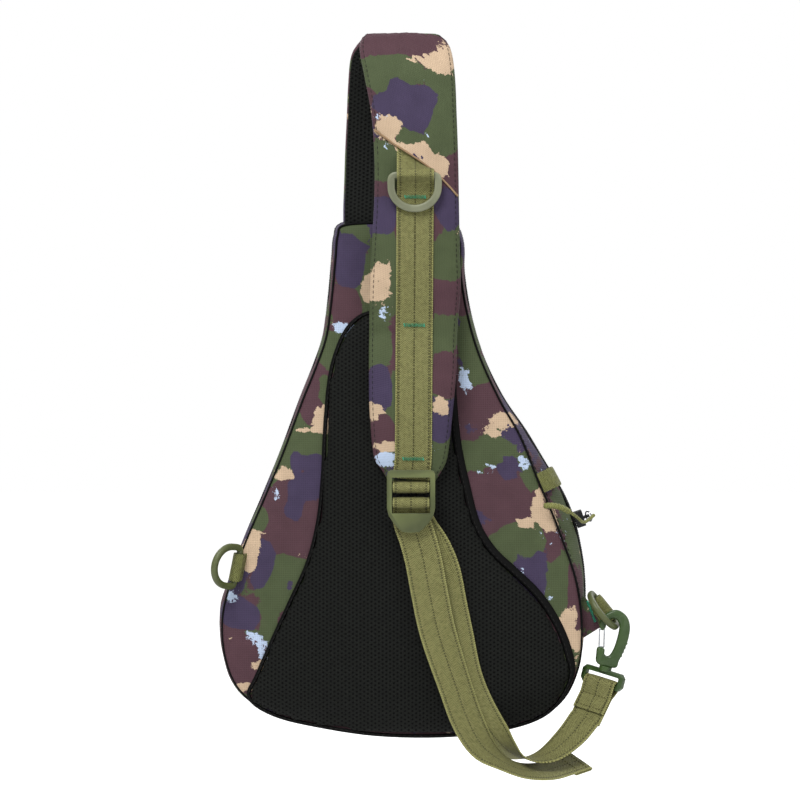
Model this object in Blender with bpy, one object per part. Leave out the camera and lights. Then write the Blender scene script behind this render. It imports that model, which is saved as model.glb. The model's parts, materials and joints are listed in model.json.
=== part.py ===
"""Sling bag: teardrop body with a clamshell front, padded shoulder strap, ladder lock,
free webbing with a swivel snap hook, and three D-rings.

Frame: millimetres in this file's numbers, metres in the scene; +Z up, +X to the right when
looking at the back pad, which faces -Y. The origin is at the inside of the strap's fold,
where the bag hangs.
"""
import math

import bmesh
import bpy
from mathutils import Matrix, Vector

MM = 0.001
GAP = 0.3

# Body: back panel at y = 0, depth grows evenly downwards
DEPTH_TOP = 44.0
DEPTH_SLOPE = 0.185
BODY_TOP_Z = -125.0
ZIP_SHARE = 0.4
WALL = 2.0
BULGE_ALL = 3.0
BULGE_RIGHT = 12.0
FRONT_INSET = 16.0
BACK_PANEL_THICK = 2.4
FRONT_PANEL_THICK = 2.2
FRONT_EDGE_SHARE = 0.985
FRONT_FACE_SHARE = 0.999
LINING_THICK = 0.8

# Back pad
PAD_FOAM = 7.4
PAD_SKIN = 1.5
BINDING_WIDTH = 5.0

# Strap layers, as distances outwards from the strap's inner face
LINING = (0.0, 1.4)
FOAM = (1.7, 4.9)
COVER = (5.6, 7.0)
STRAP_WEBBING = (7.3, 8.9)
TACK = (9.2, 9.7)
WEBBING_WIDTH = 25.0
WEBBING_THICK = 1.6
FOLD_THICK = 1.4

# Ladder lock
LOCK_PIVOT = Vector((4.0, -27.0, -300.5))
LOCK_WIDTH = 32.4
LOCK_WINDOW = 25.6
LOCK_TOP = 11.5
LOCK_TIP = -30.5
LOCK_THICK = 4.0
BAR_RADIUS = 1.8
SECOND_BAR = -10.5

# D-rings: wire, and the centre line's half width and depth
RING_WIRE = 2.3
RING_HALF = 15.7
RING_DEPTH = 22.4
SIDE_RING_HALF = 13.4
SIDE_KEEPER = 18.6
KEEPER_IN = 2.7
KEEPER_OUT = 4.1
KEEPER_LENGTH = 23.0

# Snap hook: stem point, lean to the right, and the eye's turn towards the wearer
STEM = Vector((136.8, 1.0, -423.5))
HOOK_LEAN = math.radians(14.0)
EYE_TURN = math.radians(37.0)
LOOP_TILT = math.radians(22.0)
HOOK_THICK = 6.0

BODY_OUTLINE = [
    (-40, -123), (-5, -121.5), (28, -122.5), (36.4, -132), (37.5, -155), (42, -183),
    (50, -211), (63.5, -241), (78, -267), (89, -295), (99, -319), (108, -342), (115, -362),
    (119, -382), (120, -405), (117.5, -425), (108, -445), (90, -459), (62, -467),
    (24, -470.3), (-20, -469), (-60, -463.5), (-90, -456), (-112, -440), (-122, -418),
    (-124, -391), (-118, -365), (-107, -336), (-95, -308), (-83, -279), (-70, -244),
    (-60, -219), (-53, -198), (-49.5, -172), (-47, -145), (-45.5, -130)]

PAD_OUTLINE = [
    (-22, -181), (10, -178), (28, -186), (34, -215), (35.5, -245), (38.5, -273), (44, -299),
    (51, -325), (62, -343), (78, -358), (93, -373), (105, -391), (113, -410), (115.5, -428),
    (106, -444), (88, -457), (60, -464.5), (24, -468), (-20, -467), (-60, -461),
    (-88, -454), (-106, -443), (-101, -427), (-91, -404), (-79, -378), (-67, -351),
    (-60, -322), (-57, -290), (-55.5, -258), (-52, -224), (-44.5, -200), (-35, -187)]

# Inner face of the strap from the bag's top, over the fold, down to the buckle: (y, z)
STRAP_PATH = [
    (2.5, -116.5), (5.5, -107), (11.5, -90), (17, -70), (19.5, -48), (18, -26), (13, -8), (7, -1.2), (3, 0),
    (-3, 0), (-7, -1.2), (-13, -8), (-18, -26), (-20, -50), (-19.5, -78), (-18, -105),
    (-15.5, -135), (-13, -165), (-12, -195), (-12, -230), (-12, -262), (-12, -280),
    (-12, -290), (-12, -297)]

# Strap edges along the same stations: (left x, right x)
STRAP_EDGES = [
    (-41.5, 31), (-41.5, 32), (-41, 33), (-40.5, 33), (-39.5, 33), (-38.5, 32.5), (-36.5, 30.5),
    (-31, 25.5), (-27, 21.5), (-27, 21.5), (-29, 25.5), (-30, 30.5), (-26.5, 33), (-22, 34), (-20, 35),
    (-20, 35.5), (-21.5, 36), (-23, 36.8), (-23.5, 34.8), (-23.7, 34), (-23.2, 31.5),
    (-20.4, 28), (-14.5, 24), (-10.5, 19.5)]

SEAM_LEFT = 61.0
SEAM_RIGHT = 105.0

# Free webbing: centre, width direction
TAIL_ROUTE = [
    ((4.4, -23.5, -322.5), (1, 0, 0)), ((5.2, -23.5, -326), (1, 0, 0)),
    ((8.4, -23.2, -335), (1, 0, 0)), ((12.4, -22.4, -350), (1, 0, 0)), ((16.9, -21.8, -374), (1, 0, 0)),
    ((22.3, -22, -399), (1, 0, 0)), ((33.1, -24, -432.5), (.95, .1, .28)),
    ((41.9, -27, -457), (.85, .3, .4)), ((51.5, -30, -474), (.6, .7, .4)),
    ((64.2, -31, -484), (.2, .95, .25)), ((77.7, -29.5, -490), (-.2, .93, .3)),
    ((93, -24, -491.5), (-.5, .8, .32)), ((106, -15, -489.4), (-.57, .76, .32)),
    ((119, -6.6, -486.4), (-.57, .76, .32))]

LOAD_ROUTE = [
    ((4.4, -20.9, -316.5), (1, 0, 0)), ((5.4, -20.8, -320), (1, 0, 0)),
    ((10, -19.8, -329), (1, 0, 0)), ((18.5, -17.8, -342), (1, 0, 0)),
    ((25, -16.2, -358), (1, 0, 0)),
    ((29.4, -15.4, -380), (1, 0, 0)), ((33.6, -15.2, -400), (1, 0, 0)),
    ((39.2, -15.2, -427), (1, 0, .2)), ((47.3, -15.6, -448), (.95, 0, .35)),
    ((57.5, -16.5, -465), (.8, -.3, .5)), ((69, -17.5, -477), (.5, -.75, .35)),
    ((81.8, -18.5, -483.3), (.25, -.96, .05)), ((97.3, -17.5, -480.6), (.4, -.88, -.2)),
    ((111.9, -12.5, -469.5), (.6, -.75, -.3))]

HOOK_OUTER = [
    (-6, .6), (6.2, .6), (7.6, 6), (9.4, 14), (10.2, 22), (9.4, 30), (6.2, 36), (1, 39),
    (-4, 38.6), (-9, 34.5), (-11.2, 29), (-10.8, 25.4)]
HOOK_INNER = [
    (-6.9, 25.4), (-6.6, 28.5), (-4, 32.4), (-.5, 32.6), (2.4, 29), (2.9, 20),
    (2.1, 12), (0, 7.4), (-3, 8), (-4, 11.5), (-8.4, 11.5), (-8.4, 7)]

COLOURS = {
    "camo": ((0.055, 0.06, 0.035), 0.75, 0.0), "mesh": ((0.006, 0.006, 0.006), 0.9, 0.0),
    "foam": ((0.05, 0.05, 0.05), 0.9, 0.0), "lining": ((0.03, 0.03, 0.028), 0.8, 0.0),
    "olive_webbing": ((0.16, 0.15, 0.05), 0.7, 0.0), "tack": ((0.05, 0.45, 0.3), 0.6, 0.0),
    "olive_plastic": ((0.12, 0.14, 0.055), 0.5, 0.0), "hook": ((0.06, 0.11, 0.03), 0.45, 0.0),
    "black": ((0.01, 0.01, 0.01), 0.7, 0.0), "silver": ((0.7, 0.72, 0.75), 0.25, 1.0)}


def clear_scene():
    for item in list(bpy.data.objects):
        bpy.data.objects.remove(item)


def material(name):
    """The Principled material of one of the colours, made once."""
    found = bpy.data.materials.get(name)
    if found:
        return found
    colour, rough, metal = COLOURS[name]
    made = bpy.data.materials.new(name)
    made.use_nodes = True
    shader = made.node_tree.nodes["Principled BSDF"]
    shader.inputs["Base Color"].default_value = (*colour, 1)
    shader.inputs["Roughness"].default_value = rough
    shader.inputs["Metallic"].default_value = metal
    return made


def make(name, points, faces, look, smooth=False, pivot=None):
    """One closed object from points in mm; its origin goes to the pivot."""
    base = Vector(pivot) if pivot is not None else Vector()
    mesh = bpy.data.meshes.new(name)
    mesh.from_pydata([(Vector(p) - base) * MM for p in points], [], faces)
    sheet = bmesh.new()
    sheet.from_mesh(mesh)
    bmesh.ops.recalc_face_normals(sheet, faces=sheet.faces)
    sheet.to_mesh(mesh)
    sheet.free()
    if smooth:
        mesh.shade_smooth()
        mesh.set_sharp_from_angle(angle=math.radians(40))
    mesh.materials.append(material(look))
    made = bpy.data.objects.new(name, mesh)
    made.location = base * MM
    bpy.context.scene.collection.objects.link(made)
    return made


def smooth_points(points, per_span, closed=False):
    """Points on a Catmull-Rom curve through the given points."""
    pts = [Vector(p) for p in points]
    count = len(pts)
    spans = count if closed else count - 1
    out = []
    for i in range(spans):
        if closed:
            p0, p1, p2, p3 = (pts[(i + k) % count] for k in (-1, 0, 1, 2))
        else:
            p0, p1, p2, p3 = (pts[min(max(i + k, 0), count - 1)] for k in (-1, 0, 1, 2))
        for step in range(per_span):
            t = step / per_span
            out.append(0.5 * (2 * p1 + (p2 - p0) * t + (2 * p0 - 5 * p1 + 4 * p2 - p3) * t ** 2
                              + (3 * p1 - p0 - 3 * p2 + p3) * t ** 3))
    if not closed:
        out.append(pts[-1])
    return out


def normals_2d(points):
    """Outward unit normals of a closed clockwise outline."""
    count = len(points)
    out = []
    for i in range(count):
        along = points[(i + 1) % count] - points[i - 1]
        out.append(Vector((-along[1], along[0])).normalized())
    return out


def tube_faces(rings, size, closed):
    """Quads that join rings of equal size, with end caps unless the run is closed."""
    faces = []
    for i in range(rings if closed else rings - 1):
        a = i * size
        b = ((i + 1) % rings) * size
        for k in range(size):
            n = (k + 1) % size
            faces.append((a + k, a + n, b + n, b + k))
    if not closed:
        faces.append(tuple(range(size))[::-1])
        faces.append(tuple((rings - 1) * size + k for k in range(size)))
    return faces


def sweep(name, sections, look, closed=False, smooth=False, pivot=None):
    """A closed body through cross-sections that all have the same number of points."""
    points = [p for section in sections for p in section]
    faces = tube_faces(len(sections), len(sections[0]), closed)
    return make(name, points, faces, look, smooth, pivot)


def tray(name, outer, inner, look):
    """A closed wall with a floor: both lists of rings run from the rim to the floor."""
    size = len(outer[0])
    rings = outer + inner
    points = [p for ring in rings for p in ring]
    faces = []
    joins = [(k, k + 1) for k in range(len(outer) - 1)]
    joins += [(len(outer) + k, len(outer) + k + 1) for k in range(len(inner) - 1)]
    joins.append((0, len(outer)))
    for a, b in joins:
        for k in range(size):
            n = (k + 1) % size
            faces.append((a * size + k, a * size + n, b * size + n, b * size + k))
    for floor in (len(outer) - 1, len(rings) - 1):
        faces.append(tuple(floor * size + k for k in range(size)))
    return make(name, points, faces, look)


def prism(name, outline, low, high, look, pivot=None):
    """An outline of (x, z) points given a thickness from y = low to y = high."""
    return sweep(name, [[(x, low, z) for x, z in outline], [(x, high, z) for x, z in outline]],
                 look, pivot=pivot)


def boolean(target, other, operation):
    """Applies an EXACT boolean with a second object and removes that object."""
    step = target.modifiers.new("cut", "BOOLEAN")
    step.operation = operation
    step.object = other
    step.solver = "EXACT"
    depsgraph = bpy.context.evaluated_depsgraph_get()
    result = bpy.data.meshes.new_from_object(target.evaluated_get(depsgraph))
    target.modifiers.clear()
    target.data = result
    bpy.data.objects.remove(other)
    return target


def depth(z):
    """The bag's depth at a height."""
    return DEPTH_TOP + DEPTH_SLOPE * (BODY_TOP_Z - z)


BODY = [Vector(p) for p in smooth_points(BODY_OUTLINE, 2, True)]
BODY_NORMALS = normals_2d(BODY)


def body_point(i, share, offset):
    """A point at outline step i, at a share of the depth, moved outwards by an offset."""
    x, z = BODY[i]
    swell = math.sin(math.pi * min(share * 1.1, 1.0))
    bulge = BULGE_ALL * swell
    if x > 0:
        bulge += BULGE_RIGHT * swell * math.exp(-((z + 322) / 50) ** 2)
    spot = BODY[i] + BODY_NORMALS[i] * (bulge + offset)
    return Vector((spot[0], share * depth(spot[1]), spot[1]))


def front_inset(share):
    """How far the outline draws in towards the rounded front edge."""
    start = 0.72
    if share < start:
        return 0.0
    t = (share - start) / (1 - start)
    return -FRONT_INSET * (1 - math.sqrt(max(0.0, 1 - t * t)))


def shell_section(i, shares):
    """Cross-section of the side wall at outline step i: outer face, then inner face back."""
    outer = [body_point(i, share, front_inset(share)) for share in shares]
    inner = [body_point(i, share, front_inset(share) - WALL) for share in shares]
    return outer + inner[::-1]


# ---------------------------------------------------------------- body of the bag
def back_panel():
    outline = [(p.x, p.z) for p in (body_point(i, 0, 0) for i in range(len(BODY)))]
    prism("back_panel", outline, 0, BACK_PANEL_THICK, "camo")


def rear_gusset():
    shares = (0.0, 0.1, 0.22, ZIP_SHARE)
    sections = []
    for i in range(len(BODY)):
        section = shell_section(i, shares)
        for k in (0, 7):
            section[k].y = BACK_PANEL_THICK + GAP
        for k in (3, 4):
            section[k].y -= GAP
        sections.append(section)
    sweep("rear_gusset", sections, "camo", closed=True, smooth=True)


def front_gusset():
    shares = (ZIP_SHARE, 0.55, 0.72, 0.86, 0.95, FRONT_EDGE_SHARE)
    sections = []
    for i in range(len(BODY)):
        section = shell_section(i, shares)
        for k in (0, 11):
            section[k].y += GAP
        sections.append(section)
    sweep("front_gusset", sections, "camo", closed=True, smooth=True)


def front_panel():
    inset = front_inset(FRONT_EDGE_SHARE) - WALL - 2 * GAP
    outer = []
    inner = []
    for i in range(len(BODY)):
        p = body_point(i, FRONT_FACE_SHARE, inset)
        outer.append((p.x, p.y, p.z))
        inner.append((p.x, p.y - FRONT_PANEL_THICK, p.z))
    sweep("front_panel", [outer, inner], "camo")


def lining(name, shares, rim_shift, floor_shift, floor_side):
    """A thin tray that lines one half of the bag, from its rim at the zip to its floor."""
    lift = -WALL - 1.2
    steps = range(0, len(BODY), 2)
    outer = []
    inner = []
    for share in shares:
        inset = front_inset(min(share, FRONT_EDGE_SHARE)) + lift
        outer.append([body_point(i, share, inset) for i in steps])
        inner.append([body_point(i, share, inset - LINING_THICK) for i in steps])
    for k in range(len(outer[0])):
        outer[0][k].y += rim_shift
        inner[0][k].y += rim_shift
        outer[-1][k].y += floor_shift
        inner[-1][k].y += floor_shift + LINING_THICK * floor_side
    tray(name, outer, inner, "lining")


def zip_arch():
    """Outline steps that the main zip runs along: up the left side, over and down the right."""
    steps = []
    count = len(BODY)
    lowest = [i for i in range(count) if BODY[i][1] > -405]
    start = next(i for i in lowest if (i - 1) % count not in lowest)
    for k in range(len(lowest)):
        steps.append((start + k) % count)
    return steps


def zip_tape(name, near, far):
    """Half of the main zip: a thin band on the wall with a raised edge of teeth."""
    sections = []
    for i in zip_arch():
        p0 = body_point(i, ZIP_SHARE, GAP)
        out = body_point(i, ZIP_SHARE, 1.0 + GAP) - p0
        out.y = 0
        a = p0 + Vector((0, near, 0))
        b = p0 + Vector((0, far, 0))
        tooth = a + Vector((0, math.copysign(2.0, far), 0))
        sections.append([a, b, b + out, tooth + out, tooth + out * 2.2, a + out * 2.2])
    sweep(name, sections, "black")


def inner_pocket():
    """A flat sleeve against the back, closed at its sides and bottom and open at its top."""
    left, right, low, high = -78, 72, -440, -300
    face, flange, wall = 12.0, 4.2, 1.0
    outline = [(left, high), (left, low), (right, low), (right, high)]
    inner = [(left + wall, high), (left + wall, low + wall), (right - wall, low + wall),
             (right - wall, high)]
    front = [(x, face, z) for x, z in outline]
    back = [(x, flange, z) for x, z in outline]
    back_in = [(x, flange, z) for x, z in inner]
    front_in = [(x, face - wall, z) for x, z in inner]
    points = front + back + back_in + front_in
    faces = [(0, 1, 2, 3), (12, 15, 14, 13)]
    for k in range(3):
        faces.append((k, k + 4, k + 5, k + 1))
        faces.append((k + 4, k + 8, k + 9, k + 5))
        faces.append((k + 8, k + 12, k + 13, k + 9))
    faces.append((0, 12, 8, 4))
    faces.append((3, 7, 11, 15))
    faces.append((0, 3, 15, 12))
    make("inner_pocket", points, faces, "lining")


# ---------------------------------------------------------------- back pad
def back_pad():
    outline = smooth_points(PAD_OUTLINE, 2, True)
    normals = normals_2d(outline)

    def ring(offset, y):
        return [(p[0] + n[0] * offset, y, p[1] + n[1] * offset) for p, n in zip(outline, normals)]

    foam_face = -GAP - PAD_FOAM
    inset = -BINDING_WIDTH - GAP
    sweep("back_pad_foam", [ring(inset - 2.3, -GAP), ring(inset - 2.3, foam_face + 3.6),
                            ring(inset - 6.6, foam_face)], "foam")
    skin = foam_face - GAP - PAD_SKIN
    outer = [ring(inset, -GAP), ring(inset, skin + 4), ring(inset - 4.2, skin)]
    inner = [ring(inset - 1.6, -GAP), ring(inset - 1.6, foam_face + 2.6),
             ring(inset - 5.2, skin + PAD_SKIN)]
    tray("back_pad_mesh", outer, inner, "mesh")
    sections = []
    for spot, normal in zip(outline, normals):
        high = Vector((spot[0], 0, spot[1]))
        low = high - Vector((normal[0], 0, normal[1])) * BINDING_WIDTH
        rise = [Vector((0, -GAP, 0)), Vector((0, -2.2, 0)), Vector((0, -3.6, 0)),
                Vector((0, -3.2, 0))]
        sections.append([low + rise[0], high + rise[0], high + rise[1],
                         (low + high) / 2 + rise[2], low + rise[3]])
    sweep("back_pad_binding", sections, "black", closed=True, smooth=True)


# ---------------------------------------------------------------- shoulder strap
def path_spot(stations, k):
    """Path point and outward normal at a station of the strap."""
    y, z = stations[k]
    before = stations[max(k - 1, 0)]
    after = stations[min(k + 1, len(stations) - 1)]
    along = Vector((after[0] - before[0], after[1] - before[1])).normalized()
    return Vector((0, y, z)), Vector((0, along[1], -along[0]))


def at_height(z):
    """Path point, outward normal, left and right edge on the strap's near half."""
    first = STRAP_PATH.index((-18, -26))
    for k in range(first, len(STRAP_PATH) - 1):
        if STRAP_PATH[k][1] >= z >= STRAP_PATH[k + 1][1]:
            t = (STRAP_PATH[k][1] - z) / (STRAP_PATH[k][1] - STRAP_PATH[k + 1][1])
            p0, n0 = path_spot(STRAP_PATH, k)
            p1, n1 = path_spot(STRAP_PATH, k + 1)
            edges = [a + (b - a) * t for a, b in zip(STRAP_EDGES[k], STRAP_EDGES[k + 1])]
            return p0.lerp(p1, t), n0.lerp(n1, t).normalized(), edges
    raise ValueError(z)


def layer_section(left, right, near, far, edges=None, inset=0.0):
    """Rectangle of a strap layer whose two sides may lie at different heights."""
    corners = []
    for spot, side in ((left, 0), (right, 1)):
        point, normal, span = spot
        x = (edges or span)[side] + (inset if side == 0 else -inset)
        corners.append((Vector((x, 0, 0)) + point + normal * near,
                        Vector((x, 0, 0)) + point + normal * far))
    return [corners[0][0], corners[1][0], corners[1][1], corners[0][1]]


def whole_layer(name, layer, look, inset, first=0, last=None):
    """A strap layer that runs the whole length."""
    sections = []
    for k in range(first, last or len(STRAP_PATH)):
        point, normal = path_spot(STRAP_PATH, k)
        spot = (point, normal, STRAP_EDGES[k])
        sections.append(layer_section(spot, spot, *layer, inset=inset))
    sweep(name, sections, look, smooth=True)


def cover_section(spots):
    """Cover cross-section through columns from the left edge to the right edge."""
    near = []
    far = []
    count = len(spots) - 1
    for k, (point, normal, span) in enumerate(spots):
        x = span[0] + (span[1] - span[0]) * k / count
        near.append(Vector((x, 0, 0)) + point + normal * COVER[0])
        far.append(Vector((x, 0, 0)) + point + normal * COVER[1])
    return near + far[::-1]


def slanted_section(left, right):
    """Cover cross-section on the near half, from one height at the left to one at the right."""
    count = 5
    return cover_section([at_height(left + (right - left) * k / count)
                          for k in range(count + 1)])


def strap_covers():
    """Outer fabric in two panels that meet on the diagonal seam."""
    turn = STRAP_PATH.index((-18, -26)) + 1
    upper = []
    for k in range(turn):
        point, normal = path_spot(STRAP_PATH, k)
        upper.append(cover_section([(point, normal, STRAP_EDGES[k])] * 6))
    start = -26
    level = -125.0
    steps = 4
    edge = 1.0
    lower = []
    for k in range(1, steps + 1):
        t = k / steps
        upper.append(slanted_section(start + (-SEAM_LEFT + edge - start) * t,
                                     start + (-SEAM_RIGHT + edge - start) * t))
    for k in range(steps + 1):
        t = k / steps
        lower.append(slanted_section(-SEAM_LEFT - edge + (level + SEAM_LEFT + edge) * t,
                                     -SEAM_RIGHT - edge + (level + SEAM_RIGHT + edge) * t))
    for y, z in STRAP_PATH:
        if y < 0 and z < level:
            lower.append(slanted_section(z, z))
    sweep("strap_upper_cover", upper, "camo", smooth=True)
    sweep("strap_lower_cover", lower, "camo", smooth=True)


def seam_height(x, offset=0.0):
    """Height of the diagonal seam at x."""
    slope = (SEAM_RIGHT - SEAM_LEFT) / 55.0
    return -SEAM_LEFT - slope * (x + 20) - offset


def strap_piping():
    """Thin cord of fabric along the diagonal seam, on top of the two covers."""
    sections = []
    radius = 0.9
    for k in range(7):
        x = -19 + 53 * k / 6
        point, normal, _ = at_height(seam_height(x))
        centre = point + Vector((x, 0, 0)) + normal * (COVER[1] + GAP + radius)
        ring = []
        for j in range(6):
            turn = math.tau * j / 6
            ring.append(centre + normal * radius * math.cos(turn)
                        + Vector((0, 0, 1)) * radius * math.sin(turn))
        sections.append(ring)
    sweep("strap_piping", sections, "camo", smooth=True)


def webbing_middle(z):
    """Middle of the sewn webbing at a height."""
    return 6.9 - 1.3 * (-z - 90) / 190 if z > -280 else 5.6 - 1.6 * (-z - 280) / 17


def strap_webbing():
    half = WEBBING_WIDTH / 2
    sections = []
    heights = [(seam_height(6.9 - half, 2.4), seam_height(6.9 + half, 2.4)), (-104, -104)]
    heights += [(z, z) for y, z in STRAP_PATH if y < 0 and z < -104 and z > -296]
    heights.append((-296.2, -296.2))
    for left, right in heights:
        middle = webbing_middle((left + right) / 2)
        sections.append(layer_section(at_height(left), at_height(right), *STRAP_WEBBING,
                                      edges=(middle - half, middle + half)))
    sweep("strap_webbing", sections, "olive_webbing", smooth=True)


def bar_tack(name, z):
    """Zigzag stitching across the webbing."""
    middle = webbing_middle(z)
    sections = [layer_section(at_height(h), at_height(h), *TACK, edges=(middle - 7, middle + 7))
                for h in (z + 1, z - 1)]
    sweep(name, sections, "tack")


# ---------------------------------------------------------------- D-rings
def ring_outline(half, reach):
    """Centre line of a D-ring: (along the bar, away from the bar)."""
    side = 8.0
    corner = 3.2
    points = [(-half + corner, 0), (0, 0), (half - corner, 0), (half - 0.9, 0.9)]
    steps = 9
    for k in range(steps + 1):
        turn = math.pi * k / steps
        if k == 0:
            points.append((half, corner))
        points.append((half * math.cos(turn), side + (reach - side) * math.sin(turn)))
    points.append((-half, corner))
    points.append((-half + 0.9, 0.9))
    return points


def wire_loop(name, outline, centre, along, reach, radius, look, sides=8, pivot=None):
    """A round wire that follows a closed outline in the plane of two directions."""
    along = Vector(along).normalized()
    reach = Vector(reach).normalized()
    across = along.cross(reach).normalized()
    spots = [Vector(centre) + along * p + reach * q for p, q in outline]
    sections = []
    for k, spot in enumerate(spots):
        run = (spots[(k + 1) % len(spots)] - spots[k - 1]).normalized()
        side = run.cross(across)
        sections.append([spot + side * radius * math.cos(math.tau * j / sides)
                         + across * radius * math.sin(math.tau * j / sides)
                         for j in range(sides)])
    return sweep(name, sections, look, closed=True, smooth=True, pivot=pivot)


def pipe(name, centre, along, length, inner, outer, look, sides=12):
    """A short tube, such as webbing folded round a bar."""
    along = Vector(along).normalized()
    side = along.orthogonal().normalized()
    other = along.cross(side)
    low = Vector(centre) - along * length / 2
    high = Vector(centre) + along * length / 2
    sections = []
    for k in range(sides):
        out = side * math.cos(math.tau * k / sides) + other * math.sin(math.tau * k / sides)
        sections.append([low + out * outer, high + out * outer, high + out * inner,
                         low + out * inner])
    return sweep(name, sections, look, closed=True, smooth=True)


def d_ring(name, keeper, centre, along, reach, half=SIDE_RING_HALF, length=SIDE_KEEPER):
    """A D-ring with its straight bar in a webbing keeper."""
    wire_loop(name, ring_outline(half, RING_DEPTH), centre, along, reach, RING_WIRE,
              "olive_plastic", pivot=centre)
    pipe(keeper, centre, along, length, KEEPER_IN, KEEPER_OUT, "olive_webbing")


STRAP_RING = Vector((6.4, -32.6, -91.5))
LEFT_RING = Vector((-114, -4.9, -355.5))
LEFT_ALONG = Vector((-.196, 0, -.98))
RIGHT_RING = Vector((136.6, 13.7, -384.9))
RIGHT_ALONG = Vector((.63, 0, -.777))


def rings():
    d_ring("strap_d_ring", "strap_ring_keeper", STRAP_RING, (1, 0, 0), (0, .1, -.995),
           RING_HALF, KEEPER_LENGTH)
    d_ring("left_d_ring", "left_ring_keeper", LEFT_RING, LEFT_ALONG, (-.62, -.775, .124))
    d_ring("right_d_ring", "right_ring_keeper", RIGHT_RING, RIGHT_ALONG, (-.155, -.98, -.125))


def wing_tab():
    """Triangular fabric wing that carries the right D-ring, with its bar tack."""
    b = Vector((123.6, 9, -407))
    c = Vector((137.6, 13.7, -395.6))
    d = Vector((123.8, 13.7, -377.6))
    plane = (c - b).cross(d - b)
    a = Vector((122.6, 0, -375))
    a.y = b.y - (plane.x * (a.x - b.x) + plane.z * (a.z - b.z)) / plane.y
    normal = (c - a).cross(d - b).normalized()
    if normal.y > 0:
        normal = -normal
    back = [p - normal * 1.0 for p in (a, b, c, d)]
    front = [p + normal * 1.0 for p in (a, b, c, d)]
    sweep("right_wing_tab", [back, front], "camo")
    start = a.lerp(d, 0.62).lerp(b.lerp(c, 0.62), 0.15)
    end = a.lerp(d, 0.62).lerp(b.lerp(c, 0.62), 0.75)
    along = (end - start).normalized()
    side = along.cross(normal) * 0.8
    tack = []
    for lift in (1.0 + GAP, 1.5 + GAP):
        tack.append([p + normal * lift for p in (start - side, end - side, end + side,
                                                 start + side)])
    sweep("wing_bar_tack", tack, "tack")


# ---------------------------------------------------------------- ribbons
def ribbon(name, route, look, thick=WEBBING_THICK, width=WEBBING_WIDTH):
    """A strip of webbing through stations of (centre, width direction)."""
    spots = smooth_points([p for p, _ in route], 2)
    sides = smooth_points([w for _, w in route], 2)
    sections = []
    for k, spot in enumerate(spots):
        run = (spots[min(k + 1, len(spots) - 1)] - spots[max(k - 1, 0)]).normalized()
        side = (sides[k] - run * sides[k].dot(run)).normalized() * width / 2
        face = run.cross(side).normalized() * thick / 2
        sections.append([spot - side - face, spot + side - face, spot + side + face,
                         spot - side + face])
    return sweep(name, sections, look, smooth=True)


def folded_strip(name, points, along, width, look, pivot=None):
    """Webbing bent in a plane through 3-D points, its width along a given direction."""
    across = Vector(along).normalized() * width / 2
    sections = []
    for k, spot in enumerate(points):
        run = (points[min(k + 1, len(points) - 1)] - points[max(k - 1, 0)]).normalized()
        face = run.cross(across).normalized() * FOLD_THICK / 2
        sections.append([spot - across - face, spot + across - face, spot + across + face,
                         spot - across + face])
    return sweep(name, sections, look, smooth=True, pivot=pivot)


# ---------------------------------------------------------------- ladder lock
def cylinder(name, start, end, radius, look, sides=16):
    """A round bar between two points."""
    start = Vector(start)
    end = Vector(end)
    along = (end - start).normalized()
    side = along.orthogonal().normalized()
    other = along.cross(side)
    ends = [[p + (side * math.cos(math.tau * k / sides)
                  + other * math.sin(math.tau * k / sides)) * radius for k in range(sides)]
            for p in (start, end)]
    return sweep(name, ends, look, smooth=True)


def ladder_lock():
    half = LOCK_WIDTH / 2
    window = LOCK_WINDOW / 2
    top = LOCK_TOP
    outer = [(-half + 3, top), (half - 3, top), (half - .8, top - .8), (half, top - 3),
             (half, -14), (half - 1.2, -19), (half - 4.5, -24), (8, -28), (5.5, -30),
             (0, LOCK_TIP), (-5.5, -30), (-8, -28), (-half + 4.5, -24), (-half + 1.2, -19),
             (-half, -14), (-half, top - 3), (-half + .8, top - .8)]
    low, high = -17.5, 6.5
    inner = [(-window, high), (window, high), (window, low), (-window, low)]
    origin = LOCK_PIVOT

    def plate(name, outline, thick, look):
        flat = [(origin.x + x, origin.z + z) for x, z in outline]
        return prism(name, flat, origin.y - thick, origin.y + thick, look)

    frame = plate("ladder_lock_frame", outer, LOCK_THICK / 2, "olive_plastic")
    boolean(frame, plate("cutter", inner, LOCK_THICK, "olive_plastic"), "DIFFERENCE")
    for drop in (0.0, SECOND_BAR):
        ends = [origin + Vector((s * (window + 1.5), 0, drop)) for s in (-1, 1)]
        boolean(frame, cylinder("bar", *ends, BAR_RADIUS, "olive_plastic"), "UNION")
    frame.data.transform(Matrix.Translation(-origin * MM))
    frame.location = origin * MM

    def wrap(name, path):
        spots = [origin + Vector((0, y, z)) for y, z in path]
        fine = [Vector(p) for p in smooth_points(spots, 2)]
        folded_strip(name, fine, (1, 0, 0), WEBBING_WIDTH - 0.4, "olive_webbing", pivot=origin)

    reach = BAR_RADIUS + GAP + 0.75
    arc = [(-reach * math.sin(t), reach * math.cos(t))
           for t in (math.pi * k / 6 for k in range(7))]
    wrap("buckle_webbing_loop", [(6.6, 3.4), (4.6, 3.0)] + arc + [(3.6, -3.4), (6.6, -3.5)])
    second = [(y, z + SECOND_BAR) for y, z in arc]
    wrap("ladder_lock_webbing", [(6.0, -12.0), (5.6, -8.6), (3.4, -7.3)] + second
         + [(2.4, -14.6), (3.5, -18.4)])


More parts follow.
